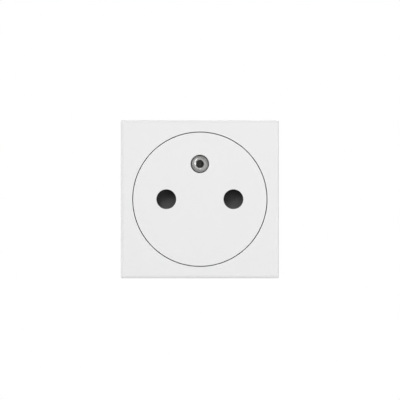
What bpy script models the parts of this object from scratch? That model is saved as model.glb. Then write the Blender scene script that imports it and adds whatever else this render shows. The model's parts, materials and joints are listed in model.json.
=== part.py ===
"""Flush-faced socket outlet module for a 45 mm support frame, with two pin holes and a fixed earth pin.

Its round face is a sprung disc, level with the square bezel until a plug presses it down the well.
Units are metres. The face looks along -Y, +Z is up, and the origin is the centre of the disc's face,
so that Y is the depth behind the face.
"""

import math

import bmesh
import bpy

MM = 0.001

# Plug system: two round pins side by side, and the earth pin above them
PIN_SPACING = 19.0 * MM
PLUG_PIN_RADIUS = 2.4 * MM
PLUG_PIN_LENGTH = 19.0 * MM
PIN_HOLE_RADIUS = PLUG_PIN_RADIUS + 0.4 * MM
EARTH_OFFSET = 10.0 * MM
EARTH_PIN_RADIUS = 2.4 * MM
EARTH_HOLE_RADIUS = EARTH_PIN_RADIUS + 0.2 * MM
TRAVEL = 15.0 * MM

# Gaps and walls shared by several pieces
FACE_GAP = 0.225 * MM
FIT_GAP = 0.3 * MM
WALL = 1.4 * MM
RIB = 1.2 * MM

# Shutter, which a pair of plug pins drives down off the pin holes
SHUTTER_HALF_HEIGHT = PIN_HOLE_RADIUS + 0.3 * MM
SHUTTER_LIP = 0.6 * MM
SHUTTER_DEPTH = 5.2 * MM
BLADE_HALF_WIDTH = PIN_HOLE_RADIUS + 0.85 * MM
SHUTTER_HALF_WIDTH = PIN_SPACING / 2 + BLADE_HALF_WIDTH
SHUTTER_TRAVEL = SHUTTER_HALF_HEIGHT + PLUG_PIN_RADIUS + 0.2 * MM
BRIDGE_STEP = 0.8 * MM
RAIL_WIDTH = 1.2 * MM
RAIL_OUTSIDE = SHUTTER_HALF_WIDTH + FIT_GAP + RAIL_WIDTH
RAIL_END = SHUTTER_HALF_HEIGHT + SHUTTER_TRAVEL
STOP_HALF_WIDTH = 4.0 * MM

# Disc carriage: the disc's wall, the shutter behind it and the retainer that holds the shutter in
RAIL_ROOM = 0.61 * MM
DISC_WALL = 2.0 * MM
DISC_EDGE_ROUND = 0.1 * MM
DISC_SKIRT = 1.2 * MM
DISC_INNER = math.hypot(RAIL_OUTSIDE, RAIL_END) + RAIL_ROOM
DISC_RADIUS = DISC_INNER + DISC_SKIRT
SHUTTER_FRONT = DISC_WALL + FIT_GAP
SHUTTER_BACK = SHUTTER_FRONT + SHUTTER_DEPTH
RETAINER_THICKNESS = 1.2 * MM
RETAINER_FRONT = SHUTTER_BACK + FIT_GAP
CARRIAGE_BACK = RETAINER_FRONT + RETAINER_THICKNESS
EARTH_SLEEVE = 1.1 * MM
STAKE_RADIUS = 0.8 * MM
STAKE_HEAD_RADIUS = STAKE_RADIUS + 0.7 * MM
STAKE_POST_RADIUS = STAKE_RADIUS + 0.8 * MM
STAKE_LEAD = 0.15 * MM
STAKE_ANGLES = [math.radians(angle) for angle in (68, 112, 237, 303)]

# Guide lugs of the disc, which run in grooves of the well
LUG_REACH = 1.2 * MM
LUG_WIDTH = 3.8 * MM
LUG_PLAY = 0.4 * MM
LUG_RADIUS = DISC_RADIUS + LUG_REACH
GROOVE_RADIUS = LUG_RADIUS + FIT_GAP
GROOVE_WIDTH = LUG_WIDTH + 2 * FIT_GAP
DIAGONALS = [math.radians(45 + 90 * quarter) for quarter in range(4)]

# Well and bezel, which together give the 44.8 mm face
WELL_RADIUS = DISC_RADIUS + FACE_GAP
BARREL_WALL = 1.575 * MM
BODY_HALF = WELL_RADIUS + BARREL_WALL
FACE_HALF = BODY_HALF + FIT_GAP + WALL
FRONT_WALL = 2.2 * MM
BEZEL_DEPTH = 9.0 * MM
EDGE_ROUND = 1.0 * MM
BEZEL_CORNER = 0.4 * MM
BODY_FRONT = FRONT_WALL + FIT_GAP

# Housing
BODY_CORNER = 3.0 * MM
BODY_INNER = BODY_HALF - WALL
FLOOR = 2.0 * MM
FLOOR_FRONT = CARRIAGE_BACK + TRAVEL + FIT_GAP
FLOOR_BACK = FLOOR_FRONT + FLOOR
FLOOR_HOLE_RADIUS = PLUG_PIN_RADIUS + 0.6 * MM
FLOOR_HOLE_LEAD = 0.7 * MM
POCKET_DEPTH = 7.7 * MM
POCKET_END = 1.0 * MM
POCKET_WALL = 0.8 * MM
POCKET_BOTTOM = FLOOR_BACK + POCKET_DEPTH
CAVITY_RADIUS = GROOVE_RADIUS + 1.0 * MM
CAVITY_SIDE = BODY_HALF - 2 * WALL

# Return springs of the disc, on a circle inside its skirt
RETURN_SPRING_ANGLES = {
    "return_spring_right": math.radians(36),
    "return_spring_left": math.radians(144),
    "return_spring_lower": math.radians(270),
}
RETURN_COIL_RADIUS = 2.2 * MM
RETURN_WIRE = 0.5 * MM
RETURN_TURNS = 10
SPRING_BORE = RETURN_COIL_RADIUS + RETURN_WIRE / 2 + 0.45 * MM
CUP_RADIUS = SPRING_BORE + 0.6 * MM
CUP_SINK = 0.1 * MM
SPRING_CIRCLE = DISC_INNER - CUP_RADIUS + 0.2 * MM

# Shutter spring, upright between the shutter and a rib of the disc
SHUTTER_COIL_RADIUS = 1.05 * MM
SHUTTER_WIRE = 0.3 * MM
SHUTTER_TURNS = 9
SHUTTER_SPRING_DEPTH = SHUTTER_FRONT + SHUTTER_DEPTH / 2
SPRING_SLOT_HALF = SHUTTER_COIL_RADIUS + SHUTTER_WIRE / 2 + FIT_GAP
SPRING_SLOT_TOP = SHUTTER_HALF_HEIGHT - 2.1 * MM
SPRING_RIB_TOP = -(RAIL_END + 0.5 * MM)
SPRING_RIB_HALF_WIDTH = 3.0 * MM
SPRING_PEG_RADIUS = SHUTTER_COIL_RADIUS - SHUTTER_WIRE
SPRING_PEG_LENGTH = 1.6 * MM

# Contacts: a brass leaf and a steel pressure clip grip each plug pin behind the floor
CONTACT_SHEET = 0.6 * MM
CLIP_SHEET = 0.4 * MM
CONTACT_HALF_WIDTH = 3.2 * MM
CLIP_INSET = 0.4 * MM
THROAT_HALF = PLUG_PIN_RADIUS - 0.2 * MM
MOUTH_FLARE = 0.9 * MM
MOUTH_LENGTH = 2.2 * MM
ROOT_SPREAD = 0.7 * MM
CONTACT_FRONT = FLOOR_BACK + 0.5 * MM
PIN_TIP = TRAVEL + PLUG_PIN_LENGTH
CLIP_FOOT = PIN_TIP + 0.65 * MM + CLIP_SHEET / 2
CONTACT_BASE = CLIP_FOOT + CLIP_SHEET / 2 + 0.25 * MM + CONTACT_SHEET / 2

# Earth pin, riveted through its strap behind the floor
EARTH_TIP = 1.0 * MM
EARTH_BORE_RADIUS = 1.14 * MM
EARTH_BORE_DEPTH = 6.0 * MM
EARTH_BORE_LEAD = 0.25 * MM
EARTH_BORE_MOUTH = 0.35 * MM
EARTH_CROWN = 4.2 * MM
EARTH_EDGE = 0.35 * MM
COLLAR_RADIUS = EARTH_PIN_RADIUS + 1.0 * MM
COLLAR_THICKNESS = 0.8 * MM
RIVET_RADIUS = 1.8 * MM
RIVET_HEAD_RADIUS = RIVET_RADIUS + 1.1 * MM
RIVET_HEAD = 0.9 * MM
BUSBAR = 0.8 * MM
STRAP_FRONT = FLOOR_BACK + FIT_GAP + COLLAR_THICKNESS + FIT_GAP
RIVET_BACK = STRAP_FRONT + BUSBAR + FIT_GAP + RIVET_HEAD

# Terminals: two push-in wires each, held against a busbar by a clamp spring
TERMINAL_X = 12.4 * MM
WIRE_OFFSET = 4.3 * MM
WIRE_HOLE_RADIUS = 1.7 * MM
WIRE_FUNNEL = 0.4 * MM
TERMINAL_HEIGHT = 5.6 * MM
BUSBAR_LENGTH = 7.1 * MM
BUSBAR_HALF_WIDTH = WIRE_OFFSET + WIRE_HOLE_RADIUS
BUSBAR_FACE = BODY_INNER - TERMINAL_HEIGHT
BUSBAR_BACK = BUSBAR_FACE - BUSBAR
WIRE_Z = BUSBAR_FACE + WIRE_HOLE_RADIUS + 0.2 * MM
CLAMP_SHEET = 0.3 * MM
CLAMP_HALF_WIDTH = 4.5 * MM
CLAMP_LENGTH = 7.0 * MM
CLAMP_BEND = 0.7 * MM
CLAMP_OVERHANG = 1.0 * MM
CLAMP_Z = BODY_INNER - FIT_GAP - CLAMP_SHEET / 2
CLAMP_BEND_DEPTH = CONTACT_BASE + 2.0 * MM
CLAMP_TIP_DEPTH = CLAMP_BEND_DEPTH - CLAMP_LENGTH
CLAMP_TIP_Z = BUSBAR_FACE + FIT_GAP + CLAMP_SHEET / 2
CLAMP_BEND_Z = CLAMP_Z - 1.2 * MM
BODY_BACK = CLAMP_BEND_DEPTH + 2.0 * MM

# Rear cover, its screws and the release buttons
COVER_THICKNESS = 1.5 * MM
COVER_CHAMFER = 0.6 * MM
COVER_FRONT = BODY_BACK + FIT_GAP
COVER_BACK = COVER_FRONT + COVER_THICKNESS
SCREW_PILLAR_RADIUS = 2.5 * MM
SCREW_X = BODY_INNER + 0.1 * MM - SCREW_PILLAR_RADIUS
SCREW_SHANK_RADIUS = 0.95 * MM
SCREW_HEAD_RADIUS = 2.0 * MM
SCREW_HEAD_DEPTH = 1.05 * MM
SCREW_GAP = 0.2 * MM
SCREW_POINT = 1.5 * MM
SCREW_SINK = 0.05 * MM
SCREW_LENGTH = 9.0 * MM
CROSS_HALF_WIDTH = 0.22 * MM
CROSS_REACH = 1.24 * MM
CROSS_DEPTH = 0.9 * MM
BUTTON_HALF_WIDTH = 1.25 * MM
BUTTON_HALF_HEIGHT = 1.2 * MM
BUTTON_GAP = 0.25 * MM
BUTTON_PROUD = 0.6 * MM
BUTTON_SHOULDER = 0.6 * MM
BUTTON_SHOULDER_DEPTH = 1.0 * MM

# Snap loops that hold the bezel on the housing, and tongues that hold the module in its support frame
LOOP_Z = 13.0 * MM
LOOP_HALF_WIDTH = 3.5 * MM
LOOP_THICKNESS = 1.0 * MM
LOOP_REACH = 9.0 * MM
LOOP_END = BEZEL_DEPTH + LOOP_REACH
LOOP_BAR = 1.5 * MM
WINDOW_HALF_WIDTH = LOOP_HALF_WIDTH - 1.5 * MM
WINDOW_LENGTH = 3.5 * MM
WEDGE_SINK = 0.1 * MM
SUPPORT_THICKNESS = 2.0 * MM
TONGUE_X = 14.5 * MM
TONGUE_HALF_WIDTH = 2.1 * MM
TONGUE_SLOT = 0.7 * MM
TONGUE_LENGTH = 10.7 * MM
TONGUE_FRONT = BEZEL_DEPTH + 1.3 * MM
TONGUE_ROOT = TONGUE_FRONT + TONGUE_LENGTH
NOSE_HEIGHT = 1.1 * MM
NOSE_LAND = 0.8 * MM
NOSE_INSET = 0.1 * MM
NOSE_FRONT = BEZEL_DEPTH + SUPPORT_THICKNESS + FIT_GAP
NOSE_LENGTH = 4.2 * MM
NOSE_BACK = NOSE_FRONT + NOSE_LENGTH

# Facets and finish
LARGE_STEPS = 72
MEDIUM_STEPS = 24
SMALL_STEPS = 16
OVERSHOOT = 1.0 * MM
OVERLAP = 0.5 * MM
WELD = 0.001 * MM
SHARP_ANGLE = math.radians(35)

# name: (colour, metallic, roughness)
FINISHES = {
    "face_white": ((0.83, 0.83, 0.83), 0.0, 0.35),
    "body_grey": ((0.62, 0.63, 0.64), 0.0, 0.5),
    "shutter_grey": ((0.045, 0.045, 0.048), 0.0, 0.5),
    "button_grey": ((0.22, 0.23, 0.24), 0.0, 0.5),
    "nickel": ((0.62, 0.61, 0.58), 1.0, 0.3),
    "brass": ((0.72, 0.5, 0.2), 1.0, 0.35),
    "spring_steel": ((0.55, 0.55, 0.56), 1.0, 0.3),
}


def clear_scene():
    for obj in list(bpy.data.objects):
        bpy.data.objects.remove(obj, do_unlink=True)


def finish_material(name):
    material = bpy.data.materials.get(name)
    if material is None:
        colour, metallic, roughness = FINISHES[name]
        material = bpy.data.materials.new(name)
        material.use_nodes = True
        shader = material.node_tree.nodes["Principled BSDF"]
        shader.inputs["Base Color"].default_value = (*colour, 1.0)
        shader.inputs["Metallic"].default_value = metallic
        shader.inputs["Roughness"].default_value = roughness
    return material


def rectangle(low, high):
    """Corners of the rectangle between two (u, v) points."""
    return [(low[0], low[1]), (high[0], low[1]), (high[0], high[1]), (low[0], high[1])]


def arc(radius, start, end, steps, centre=(0.0, 0.0)):
    """Points along an arc, both ends included."""
    angles = [start + (end - start) * step / steps for step in range(steps + 1)]
    return [(centre[0] + radius * math.cos(a), centre[1] + radius * math.sin(a)) for a in angles]


def circle(radius, steps, centre=(0.0, 0.0)):
    return arc(radius, 0, math.tau, steps, centre)[:-1]


def rounded_square(half, corner, steps=4):
    points = []
    for quarter in range(4):
        middle = math.radians(45 + 90 * quarter)
        centre = (
            math.copysign(half - corner, math.cos(middle)),
            math.copysign(half - corner, math.sin(middle)),
        )
        points += arc(corner, middle - math.pi / 4, middle + math.pi / 4, steps, centre)
    return points


def turned_by(points, angle):
    """The (u, v) points turned about the origin."""
    c, s = math.cos(angle), math.sin(angle)
    return [(u * c - v * s, u * s + v * c) for u, v in points]


def grooved_circle(radius, groove_radius, groove_width):
    """A circle with a flat-bottomed groove on each diagonal."""
    half_angle = math.asin(groove_width / 2 / radius)
    groove = [(groove_radius, -groove_width / 2), (groove_radius, groove_width / 2)]
    points = []
    for middle in DIAGONALS:
        points += turned_by(groove, middle)
        start, end = middle + half_angle, middle + math.pi / 2 - half_angle
        points += arc(radius, start, end, LARGE_STEPS // 4)
    return points


def strip(path, thickness):
    """Outline of a bent strip of sheet metal that follows a path of (u, v) points."""
    sides = {1: [], -1: []}
    for i, (u, v) in enumerate(path):
        before = path[max(i - 1, 0)]
        after = path[min(i + 1, len(path) - 1)]
        runs = [(u - before[0], v - before[1]), (after[0] - u, after[1] - v)]
        units = [(a / math.hypot(a, b), b / math.hypot(a, b)) for a, b in runs if a or b]
        mean = (units[0][0] + units[-1][0], units[0][1] + units[-1][1])
        length = math.hypot(*mean)
        normal = (-mean[1] / length, mean[0] / length)
        cosine = abs(normal[0] * -units[0][1] + normal[1] * units[0][0])
        for side, points in sides.items():
            reach = side * thickness / 2 / cosine
            points.append((u + normal[0] * reach, v + normal[1] * reach))
    return sides[1] + sides[-1][::-1]


def add_prism(bm, outline, low, high, along="Y"):
    """Extrudes an outline between two positions along X, Y or Z.

    The outline holds (y, z) points along X, (x, z) points along Y and (x, y) points along Z.
    """
    place = {
        "X": lambda u, v: (low, u, v),
        "Y": lambda u, v: (u, low, v),
        "Z": lambda u, v: (u, v, low),
    }[along]
    shift = {"X": (high - low, 0, 0), "Y": (0, high - low, 0), "Z": (0, 0, high - low)}[along]
    face = bm.faces.new([bm.verts.new(place(u, v)) for u, v in outline])
    extruded = bmesh.ops.extrude_face_region(bm, geom=[face])["geom"]
    moved = [item for item in extruded if isinstance(item, bmesh.types.BMVert)]
    bmesh.ops.translate(bm, verts=moved, vec=shift)


def add_turned(bm, profile, centre=(0.0, 0.0), steps=MEDIUM_STEPS):
    """Turns a profile of (radius, y) points, whose ends lie on the axis, about a line along Y."""
    x, z = centre
    points = [bm.verts.new((x + radius, y, z)) for radius, y in profile]
    edges = [bm.edges.new(pair) for pair in zip(points, points[1:])]
    bmesh.ops.spin(
        bm,
        geom=points + edges,
        cent=(x, 0, z),
        axis=(0, 1, 0),
        angle=math.tau,
        steps=steps,
        use_merge=True,
    )


def add_rod(bm, radius, front, back, centre, steps=MEDIUM_STEPS):
    add_prism(bm, circle(radius, steps, centre), front, back)


def add_loft(bm, sections):
    """Skins (depth, outline) sections that have the same number of points, and closes both ends."""
    rings = [[bm.verts.new((x, depth, z)) for x, z in outline] for depth, outline in sections]
    for near, far in zip(rings, rings[1:]):
        for i in range(len(near)):
            j = (i + 1) % len(near)
            bm.faces.new((near[i], near[j], far[j], far[i]))
    bm.faces.new(rings[0])
    bm.faces.new(rings[-1])


def mesh_of(name, bm):
    bmesh.ops.remove_doubles(bm, verts=bm.verts, dist=WELD)
    bmesh.ops.recalc_face_normals(bm, faces=bm.faces)
    mesh = bpy.data.meshes.new(name)
    bm.to_mesh(mesh)
    bm.free()
    return mesh


def link(name, data):
    obj = bpy.data.objects.new(name, data)
    bpy.context.scene.collection.objects.link(obj)
    return obj


def node(name, shape, finish, location=(0, 0, 0), rotation=(0, 0, 0), parent=None):
    """A visible piece, made from a bmesh or from a mesh that another piece shares."""
    mesh = mesh_of(name, shape) if isinstance(shape, bmesh.types.BMesh) else shape
    if not mesh.materials:
        mesh.materials.append(finish_material(finish))
        mesh.shade_smooth()
        mesh.set_sharp_from_angle(angle=SHARP_ANGLE)
    obj = link(name, mesh)
    obj.location = location
    obj.rotation_euler = rotation
    obj.parent = parent
    return obj


def axis_empty(name, location=(0, 0, 0), parent=None):
    empty = link(name, None)
    empty.empty_display_size = FACE_HALF
    empty.location = location
    empty.parent = parent
    return empty


def boolean(target, bm, operation, label):
    helper = link(f"{target.name}_{label}", mesh_of(f"{target.name}_{label}", bm))
    helper.hide_render = True
    helper.display_type = "WIRE"
    helper.parent = target
    modifier = target.modifiers.new(label, "BOOLEAN")
    modifier.operation = operation
    modifier.solver = "EXACT"
    modifier.use_self = True
    modifier.object = helper


def join(target, bm, label):
    boolean(target, bm, "UNION", label)


def cut(target, bm, label):
    boolean(target, bm, "DIFFERENCE", label)


def pin_places():
    """(x, z) of the two pin holes."""
    return [(side * PIN_SPACING / 2, 0.0) for side in (-1, 1)]


def spring_places():
    """(x, z) of the three return springs, by name."""
    return {
        name: (SPRING_CIRCLE * math.cos(a), SPRING_CIRCLE * math.sin(a))
        for name, a in RETURN_SPRING_ANGLES.items()
    }


def stake_places():
    """(x, z) of the posts that hold the retainer on the disc."""
    reach = DISC_INNER - STAKE_POST_RADIUS - FIT_GAP
    return [(reach * math.cos(a), reach * math.sin(a)) for a in STAKE_ANGLES]


def terminal_places():
    """x, z side and name of the three terminals: +1 stands for the top of the housing."""
    return [
        ("live", -TERMINAL_X, -1),
        ("neutral", TERMINAL_X, -1),
        ("earth", 0.0, 1),
    ]


def corners():
    return [(sx, sz) for sx in (-1, 1) for sz in (-1, 1)]


def scaled(outline, su, sv):
    return [(u * su, v * sv) for u, v in outline]


def span(side, near, far):
    """The pair of positions on one side of the origin, lower one first."""
    return sorted((side * near, side * far))


def bezel():
    """Square front with a rounded rim, a skirt, the round window of the well and four snap loops."""
    bm = bmesh.new()
    sections = []
    for step in range(4):
        angle = math.radians(30 * step)
        inset = EDGE_ROUND * (1 - math.sin(angle))
        depth = EDGE_ROUND * (1 - math.cos(angle))
        sections.append((depth, rounded_square(FACE_HALF - inset, BEZEL_CORNER, 3)))
    sections.append((BEZEL_DEPTH, rounded_square(FACE_HALF, BEZEL_CORNER, 3)))
    add_loft(bm, sections)
    piece = node("front_bezel", bm, "face_white")

    bm = bmesh.new()
    inside = rounded_square(FACE_HALF - WALL, BEZEL_CORNER, 3)
    add_prism(bm, inside, FRONT_WALL, BEZEL_DEPTH + OVERSHOOT)
    cut(piece, bm, "skirt_inside")

    bm = bmesh.new()
    add_prism(bm, circle(WELL_RADIUS, LARGE_STEPS), -OVERSHOOT, FRONT_WALL + OVERSHOOT)
    cut(piece, bm, "window")

    loops, windows = bmesh.new(), bmesh.new()
    outer = BODY_HALF
    inner = BODY_HALF - LOOP_THICKNESS
    root = FACE_HALF - WALL + OVERLAP
    window_end = LOOP_END - LOOP_BAR
    profile = [
        (inner, FRONT_WALL - OVERLAP),
        (root, FRONT_WALL - OVERLAP),
        (root, BEZEL_DEPTH - OVERLAP),
        (outer, BEZEL_DEPTH - OVERLAP),
        (outer, LOOP_END - OVERLAP),
        (inner + OVERLAP, LOOP_END),
        (inner, LOOP_END),
    ]
    for sx, sz in corners():
        low, high = span(sz, LOOP_Z - LOOP_HALF_WIDTH, LOOP_Z + LOOP_HALF_WIDTH)
        add_prism(loops, scaled(profile, sx, 1), low, high, "Z")
        low, high = span(sz, LOOP_Z - WINDOW_HALF_WIDTH, LOOP_Z + WINDOW_HALF_WIDTH)
        hole = rectangle((window_end - WINDOW_LENGTH, low), (window_end, high))
        near, far = span(sx, inner - OVERSHOOT, outer + OVERSHOOT)
        add_prism(windows, hole, near, far, "X")
    join(piece, loops, "snap_loops")
    cut(piece, windows, "snap_windows")


def housing():
    """Moulded body: the well for the disc in front, and the contact chambers behind its floor."""
    bm = bmesh.new()
    add_prism(bm, rounded_square(BODY_HALF, BODY_CORNER), BODY_FRONT, BODY_BACK)
    body = node("housing", bm, "body_grey")
    cut_well(body)
    cut_rear_chamber(body)
    join_partitions(body)
    cut_bores(body)
    add_bezel_catches(body)
    add_support_tongues(body)


def cut_well(body):
    bm = bmesh.new()
    outline = grooved_circle(WELL_RADIUS, GROOVE_RADIUS, GROOVE_WIDTH)
    add_prism(bm, outline, BODY_FRONT - OVERSHOOT, FLOOR_FRONT)
    cut(body, bm, "well")

    bm = bmesh.new()
    start = math.acos(CAVITY_SIDE / CAVITY_RADIUS)
    end = math.asin(BODY_INNER / CAVITY_RADIUS)
    pocket = [(CAVITY_SIDE, BODY_INNER)] + arc(CAVITY_RADIUS, end, start, 6)
    for sx, sz in corners():
        add_prism(bm, scaled(pocket, sx, sz), BODY_FRONT - OVERSHOOT, FLOOR_FRONT - FLOOR)
    cut(body, bm, "corner_cavities")


def cut_rear_chamber(body):
    bm = bmesh.new()
    outline = rounded_square(BODY_INNER, BODY_CORNER - WALL)
    add_prism(bm, outline, FLOOR_BACK, BODY_BACK + OVERSHOOT)
    cut(body, bm, "rear_chamber")


def join_partitions(body):
    """Walls round the two contacts, the shelves above the terminals, and the earth terminal's trough."""
    into_wall = BODY_INNER + OVERLAP
    inner = PIN_SPACING / 2 - CONTACT_HALF_WIDTH - FIT_GAP
    outer = PIN_SPACING / 2 + CONTACT_HALF_WIDTH + FIT_GAP
    top = THROAT_HALF + CONTACT_SHEET + MOUTH_FLARE + FIT_GAP
    shelf = -(BUSBAR_BACK - FIT_GAP)
    chamber = [
        (inner - RIB, -into_wall),
        (inner - RIB, top + RIB),
        (outer + RIB, top + RIB),
        (outer + RIB, shelf + RIB),
        (into_wall, shelf + RIB),
        (into_wall, shelf),
        (outer, shelf),
        (outer, top),
        (inner, top),
        (inner, -into_wall),
    ]
    rim = BODY_BACK - FIT_GAP
    bm = bmesh.new()
    for side in (-1, 1):
        add_prism(bm, scaled(chamber, side, 1), FLOOR_BACK - OVERLAP, rim)
    join(body, bm, "contact_chambers")

    bm = bmesh.new()
    half = BUSBAR_HALF_WIDTH + 2 * FIT_GAP
    shelf = BUSBAR_BACK - FIT_GAP
    trough = [
        (-half - RIB, into_wall),
        (-half - RIB, shelf - RIB),
        (half + RIB, shelf - RIB),
        (half + RIB, into_wall),
        (half, into_wall),
        (half, shelf),
        (-half, shelf),
        (-half, into_wall),
    ]
    add_prism(bm, trough, RIVET_BACK + OVERLAP, rim)
    join(body, bm, "earth_trough")

    bm = bmesh.new()
    for place in spring_places().values():
        add_rod(bm, SPRING_BORE + POCKET_WALL, FLOOR_BACK - OVERLAP, POCKET_BOTTOM + POCKET_END, place)
    for side in (-1, 1):
        add_rod(bm, SCREW_PILLAR_RADIUS, FLOOR_BACK - OVERLAP, rim, (side * SCREW_X, 0))
    join(body, bm, "pockets_and_pillars")


def cut_bores(body):
    """Spring pockets, screw pilots, and the holes in the floor for the plug pins and the earth pin."""
    bm = bmesh.new()
    for place in spring_places().values():
        add_rod(bm, SPRING_BORE, FLOOR_FRONT - OVERSHOOT, POCKET_BOTTOM, place)
    for side in (-1, 1):
        pilot = SCREW_SHANK_RADIUS + SCREW_GAP
        front = COVER_BACK - SCREW_LENGTH - OVERSHOOT
        add_rod(bm, pilot, front, BODY_BACK + OVERSHOOT, (side * SCREW_X, 0), SMALL_STEPS)
    for place in pin_places():
        profile = [
            (0, FLOOR_FRONT - OVERSHOOT),
            (FLOOR_HOLE_RADIUS + FLOOR_HOLE_LEAD, FLOOR_FRONT - OVERSHOOT),
            (FLOOR_HOLE_RADIUS + FLOOR_HOLE_LEAD, FLOOR_FRONT),
            (FLOOR_HOLE_RADIUS, FLOOR_FRONT + FLOOR_HOLE_LEAD),
            (FLOOR_HOLE_RADIUS, FLOOR_BACK + OVERSHOOT),
            (0, FLOOR_BACK + OVERSHOOT),
        ]
        add_turned(bm, profile, place)
    add_rod(bm, EARTH_HOLE_RADIUS, FLOOR_FRONT - OVERSHOOT, FLOOR_BACK + OVERSHOOT, (0, EARTH_OFFSET))
    cut(body, bm, "bores")


def add_bezel_catches(body):
    """Recesses for the bezel's loops, with the wedges that the loops snap over."""
    recesses, wedges = bmesh.new(), bmesh.new()
    floor = BODY_HALF - LOOP_THICKNESS - FIT_GAP
    window_end = LOOP_END - LOOP_BAR
    wedge = [
        (floor - OVERLAP, window_end - WINDOW_LENGTH + FIT_GAP),
        (floor + FIT_GAP, window_end - WINDOW_LENGTH + FIT_GAP),
        (BODY_HALF - WEDGE_SINK, window_end - FIT_GAP),
        (floor - OVERLAP, window_end - FIT_GAP),
    ]
    for sx, sz in corners():
        reach = LOOP_HALF_WIDTH + FIT_GAP
        low, high = span(sz, LOOP_Z - reach, LOOP_Z + reach)
        near, far = span(sx, floor, BODY_HALF + OVERSHOOT)
        outline = rectangle((BODY_FRONT - OVERSHOOT, low), (LOOP_END + OVERLAP, high))
        add_prism(recesses, outline, near, far, "X")
        reach = WINDOW_HALF_WIDTH - FIT_GAP
        low, high = span(sz, LOOP_Z - reach, LOOP_Z + reach)
        add_prism(wedges, scaled(wedge, sx, 1), low, high, "Z")
    cut(body, recesses, "loop_recesses")
    join(body, wedges, "snap_wedges")


def add_support_tongues(body):
    """Two sprung tongues at the top and two at the bottom, whose noses catch behind the support frame."""
    slots, noses = bmesh.new(), bmesh.new()
    inner, outer = TONGUE_HALF_WIDTH, TONGUE_HALF_WIDTH + TONGUE_SLOT
    slot = [
        (TONGUE_X - outer, TONGUE_FRONT - TONGUE_SLOT),
        (TONGUE_X + outer, TONGUE_FRONT - TONGUE_SLOT),
        (TONGUE_X + outer, TONGUE_ROOT),
        (TONGUE_X + inner, TONGUE_ROOT),
        (TONGUE_X + inner, TONGUE_FRONT),
        (TONGUE_X - inner, TONGUE_FRONT),
        (TONGUE_X - inner, TONGUE_ROOT),
        (TONGUE_X - outer, TONGUE_ROOT),
    ]
    nose = [
        (NOSE_FRONT, BODY_HALF - OVERLAP),
        (NOSE_FRONT, BODY_HALF + NOSE_HEIGHT),
        (NOSE_FRONT + NOSE_LAND, BODY_HALF + NOSE_HEIGHT),
        (NOSE_BACK, BODY_HALF),
        (NOSE_BACK, BODY_HALF - OVERLAP),
    ]
    for sx, sz in corners():
        low, high = span(sz, BODY_INNER - OVERLAP, BODY_HALF + OVERSHOOT)
        add_prism(slots, scaled(slot, sx, 1), low, high, "Z")
        near, far = span(sx, TONGUE_X - inner + NOSE_INSET, TONGUE_X + inner - NOSE_INSET)
        add_prism(noses, scaled(nose, 1, sz), near, far, "X")
    cut(body, slots, "tongue_slots")
    join(body, noses, "tongue_noses")


def rear_cover():
    """Plate that closes the housing, with the wire entries and the windows of the release buttons."""
    bm = bmesh.new()
    sections = [
        (COVER_FRONT, rounded_square(BODY_HALF, BODY_CORNER)),
        (COVER_BACK - COVER_CHAMFER, rounded_square(BODY_HALF, BODY_CORNER)),
        (COVER_BACK, rounded_square(BODY_HALF - COVER_CHAMFER, BODY_CORNER - COVER_CHAMFER)),
    ]
    add_loft(bm, sections)
    cover = node("rear_cover", bm, "body_grey")

    bm = bmesh.new()
    before, behind = COVER_FRONT - OVERSHOOT, COVER_BACK + OVERSHOOT
    flare = WIRE_FUNNEL * (COVER_THICKNESS + OVERSHOOT) / COVER_THICKNESS
    wire_entry = [
        (0, before),
        (WIRE_HOLE_RADIUS, before),
        (WIRE_HOLE_RADIUS, COVER_FRONT),
        (WIRE_HOLE_RADIUS + flare, behind),
        (0, behind),
    ]
    half_width, half_height = BUTTON_HALF_WIDTH + BUTTON_GAP, BUTTON_HALF_HEIGHT + BUTTON_GAP
    for _, x, side in terminal_places():
        for offset in (-WIRE_OFFSET, WIRE_OFFSET):
            add_turned(bm, wire_entry, (x + offset, side * WIRE_Z))
        window = rectangle(
            (x - half_width, side * WIRE_Z - half_height),
            (x + half_width, side * WIRE_Z + half_height),
        )
        add_prism(bm, window, before, behind)
    countersink = [
        (0, before),
        (SCREW_SHANK_RADIUS + SCREW_GAP, before),
        (SCREW_SHANK_RADIUS + SCREW_GAP, COVER_BACK - SCREW_HEAD_DEPTH),
        (SCREW_HEAD_RADIUS + SCREW_GAP, COVER_BACK),
        (SCREW_HEAD_RADIUS + SCREW_GAP, behind),
        (0, behind),
    ]
    for side in (-1, 1):
        add_turned(bm, countersink, (side * SCREW_X, 0))
    cut(cover, bm, "entries")


def cover_screws():
    """Countersunk self-tapping screws that hold the rear cover, each with a cross recess."""
    for name, side in (("cover_screw_left", -1), ("cover_screw_right", 1)):
        bm = bmesh.new()
        profile = [
            (0, SCREW_SINK - SCREW_LENGTH),
            (SCREW_SHANK_RADIUS / 3, SCREW_SINK - SCREW_LENGTH),
            (SCREW_SHANK_RADIUS, SCREW_SINK - SCREW_LENGTH + SCREW_POINT),
            (SCREW_SHANK_RADIUS, -SCREW_HEAD_DEPTH - 3 * SCREW_SINK),
            (SCREW_HEAD_RADIUS, -SCREW_SINK * 2),
            (SCREW_HEAD_RADIUS, -SCREW_SINK),
            (0, -SCREW_SINK),
        ]
        add_turned(bm, profile, steps=MEDIUM_STEPS)
        screw = node(name, bm, "spring_steel", (side * SCREW_X, COVER_BACK, 0))
        bm = bmesh.new()
        half = CROSS_HALF_WIDTH
        cross = []
        for quarter in range(4):
            arm = [(half, half), (half, CROSS_REACH), (-half, CROSS_REACH)]
            cross += turned_by(arm, math.pi / 2 * quarter)
        add_prism(bm, cross, -CROSS_DEPTH, OVERSHOOT)
        cut(screw, bm, "cross")


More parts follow.
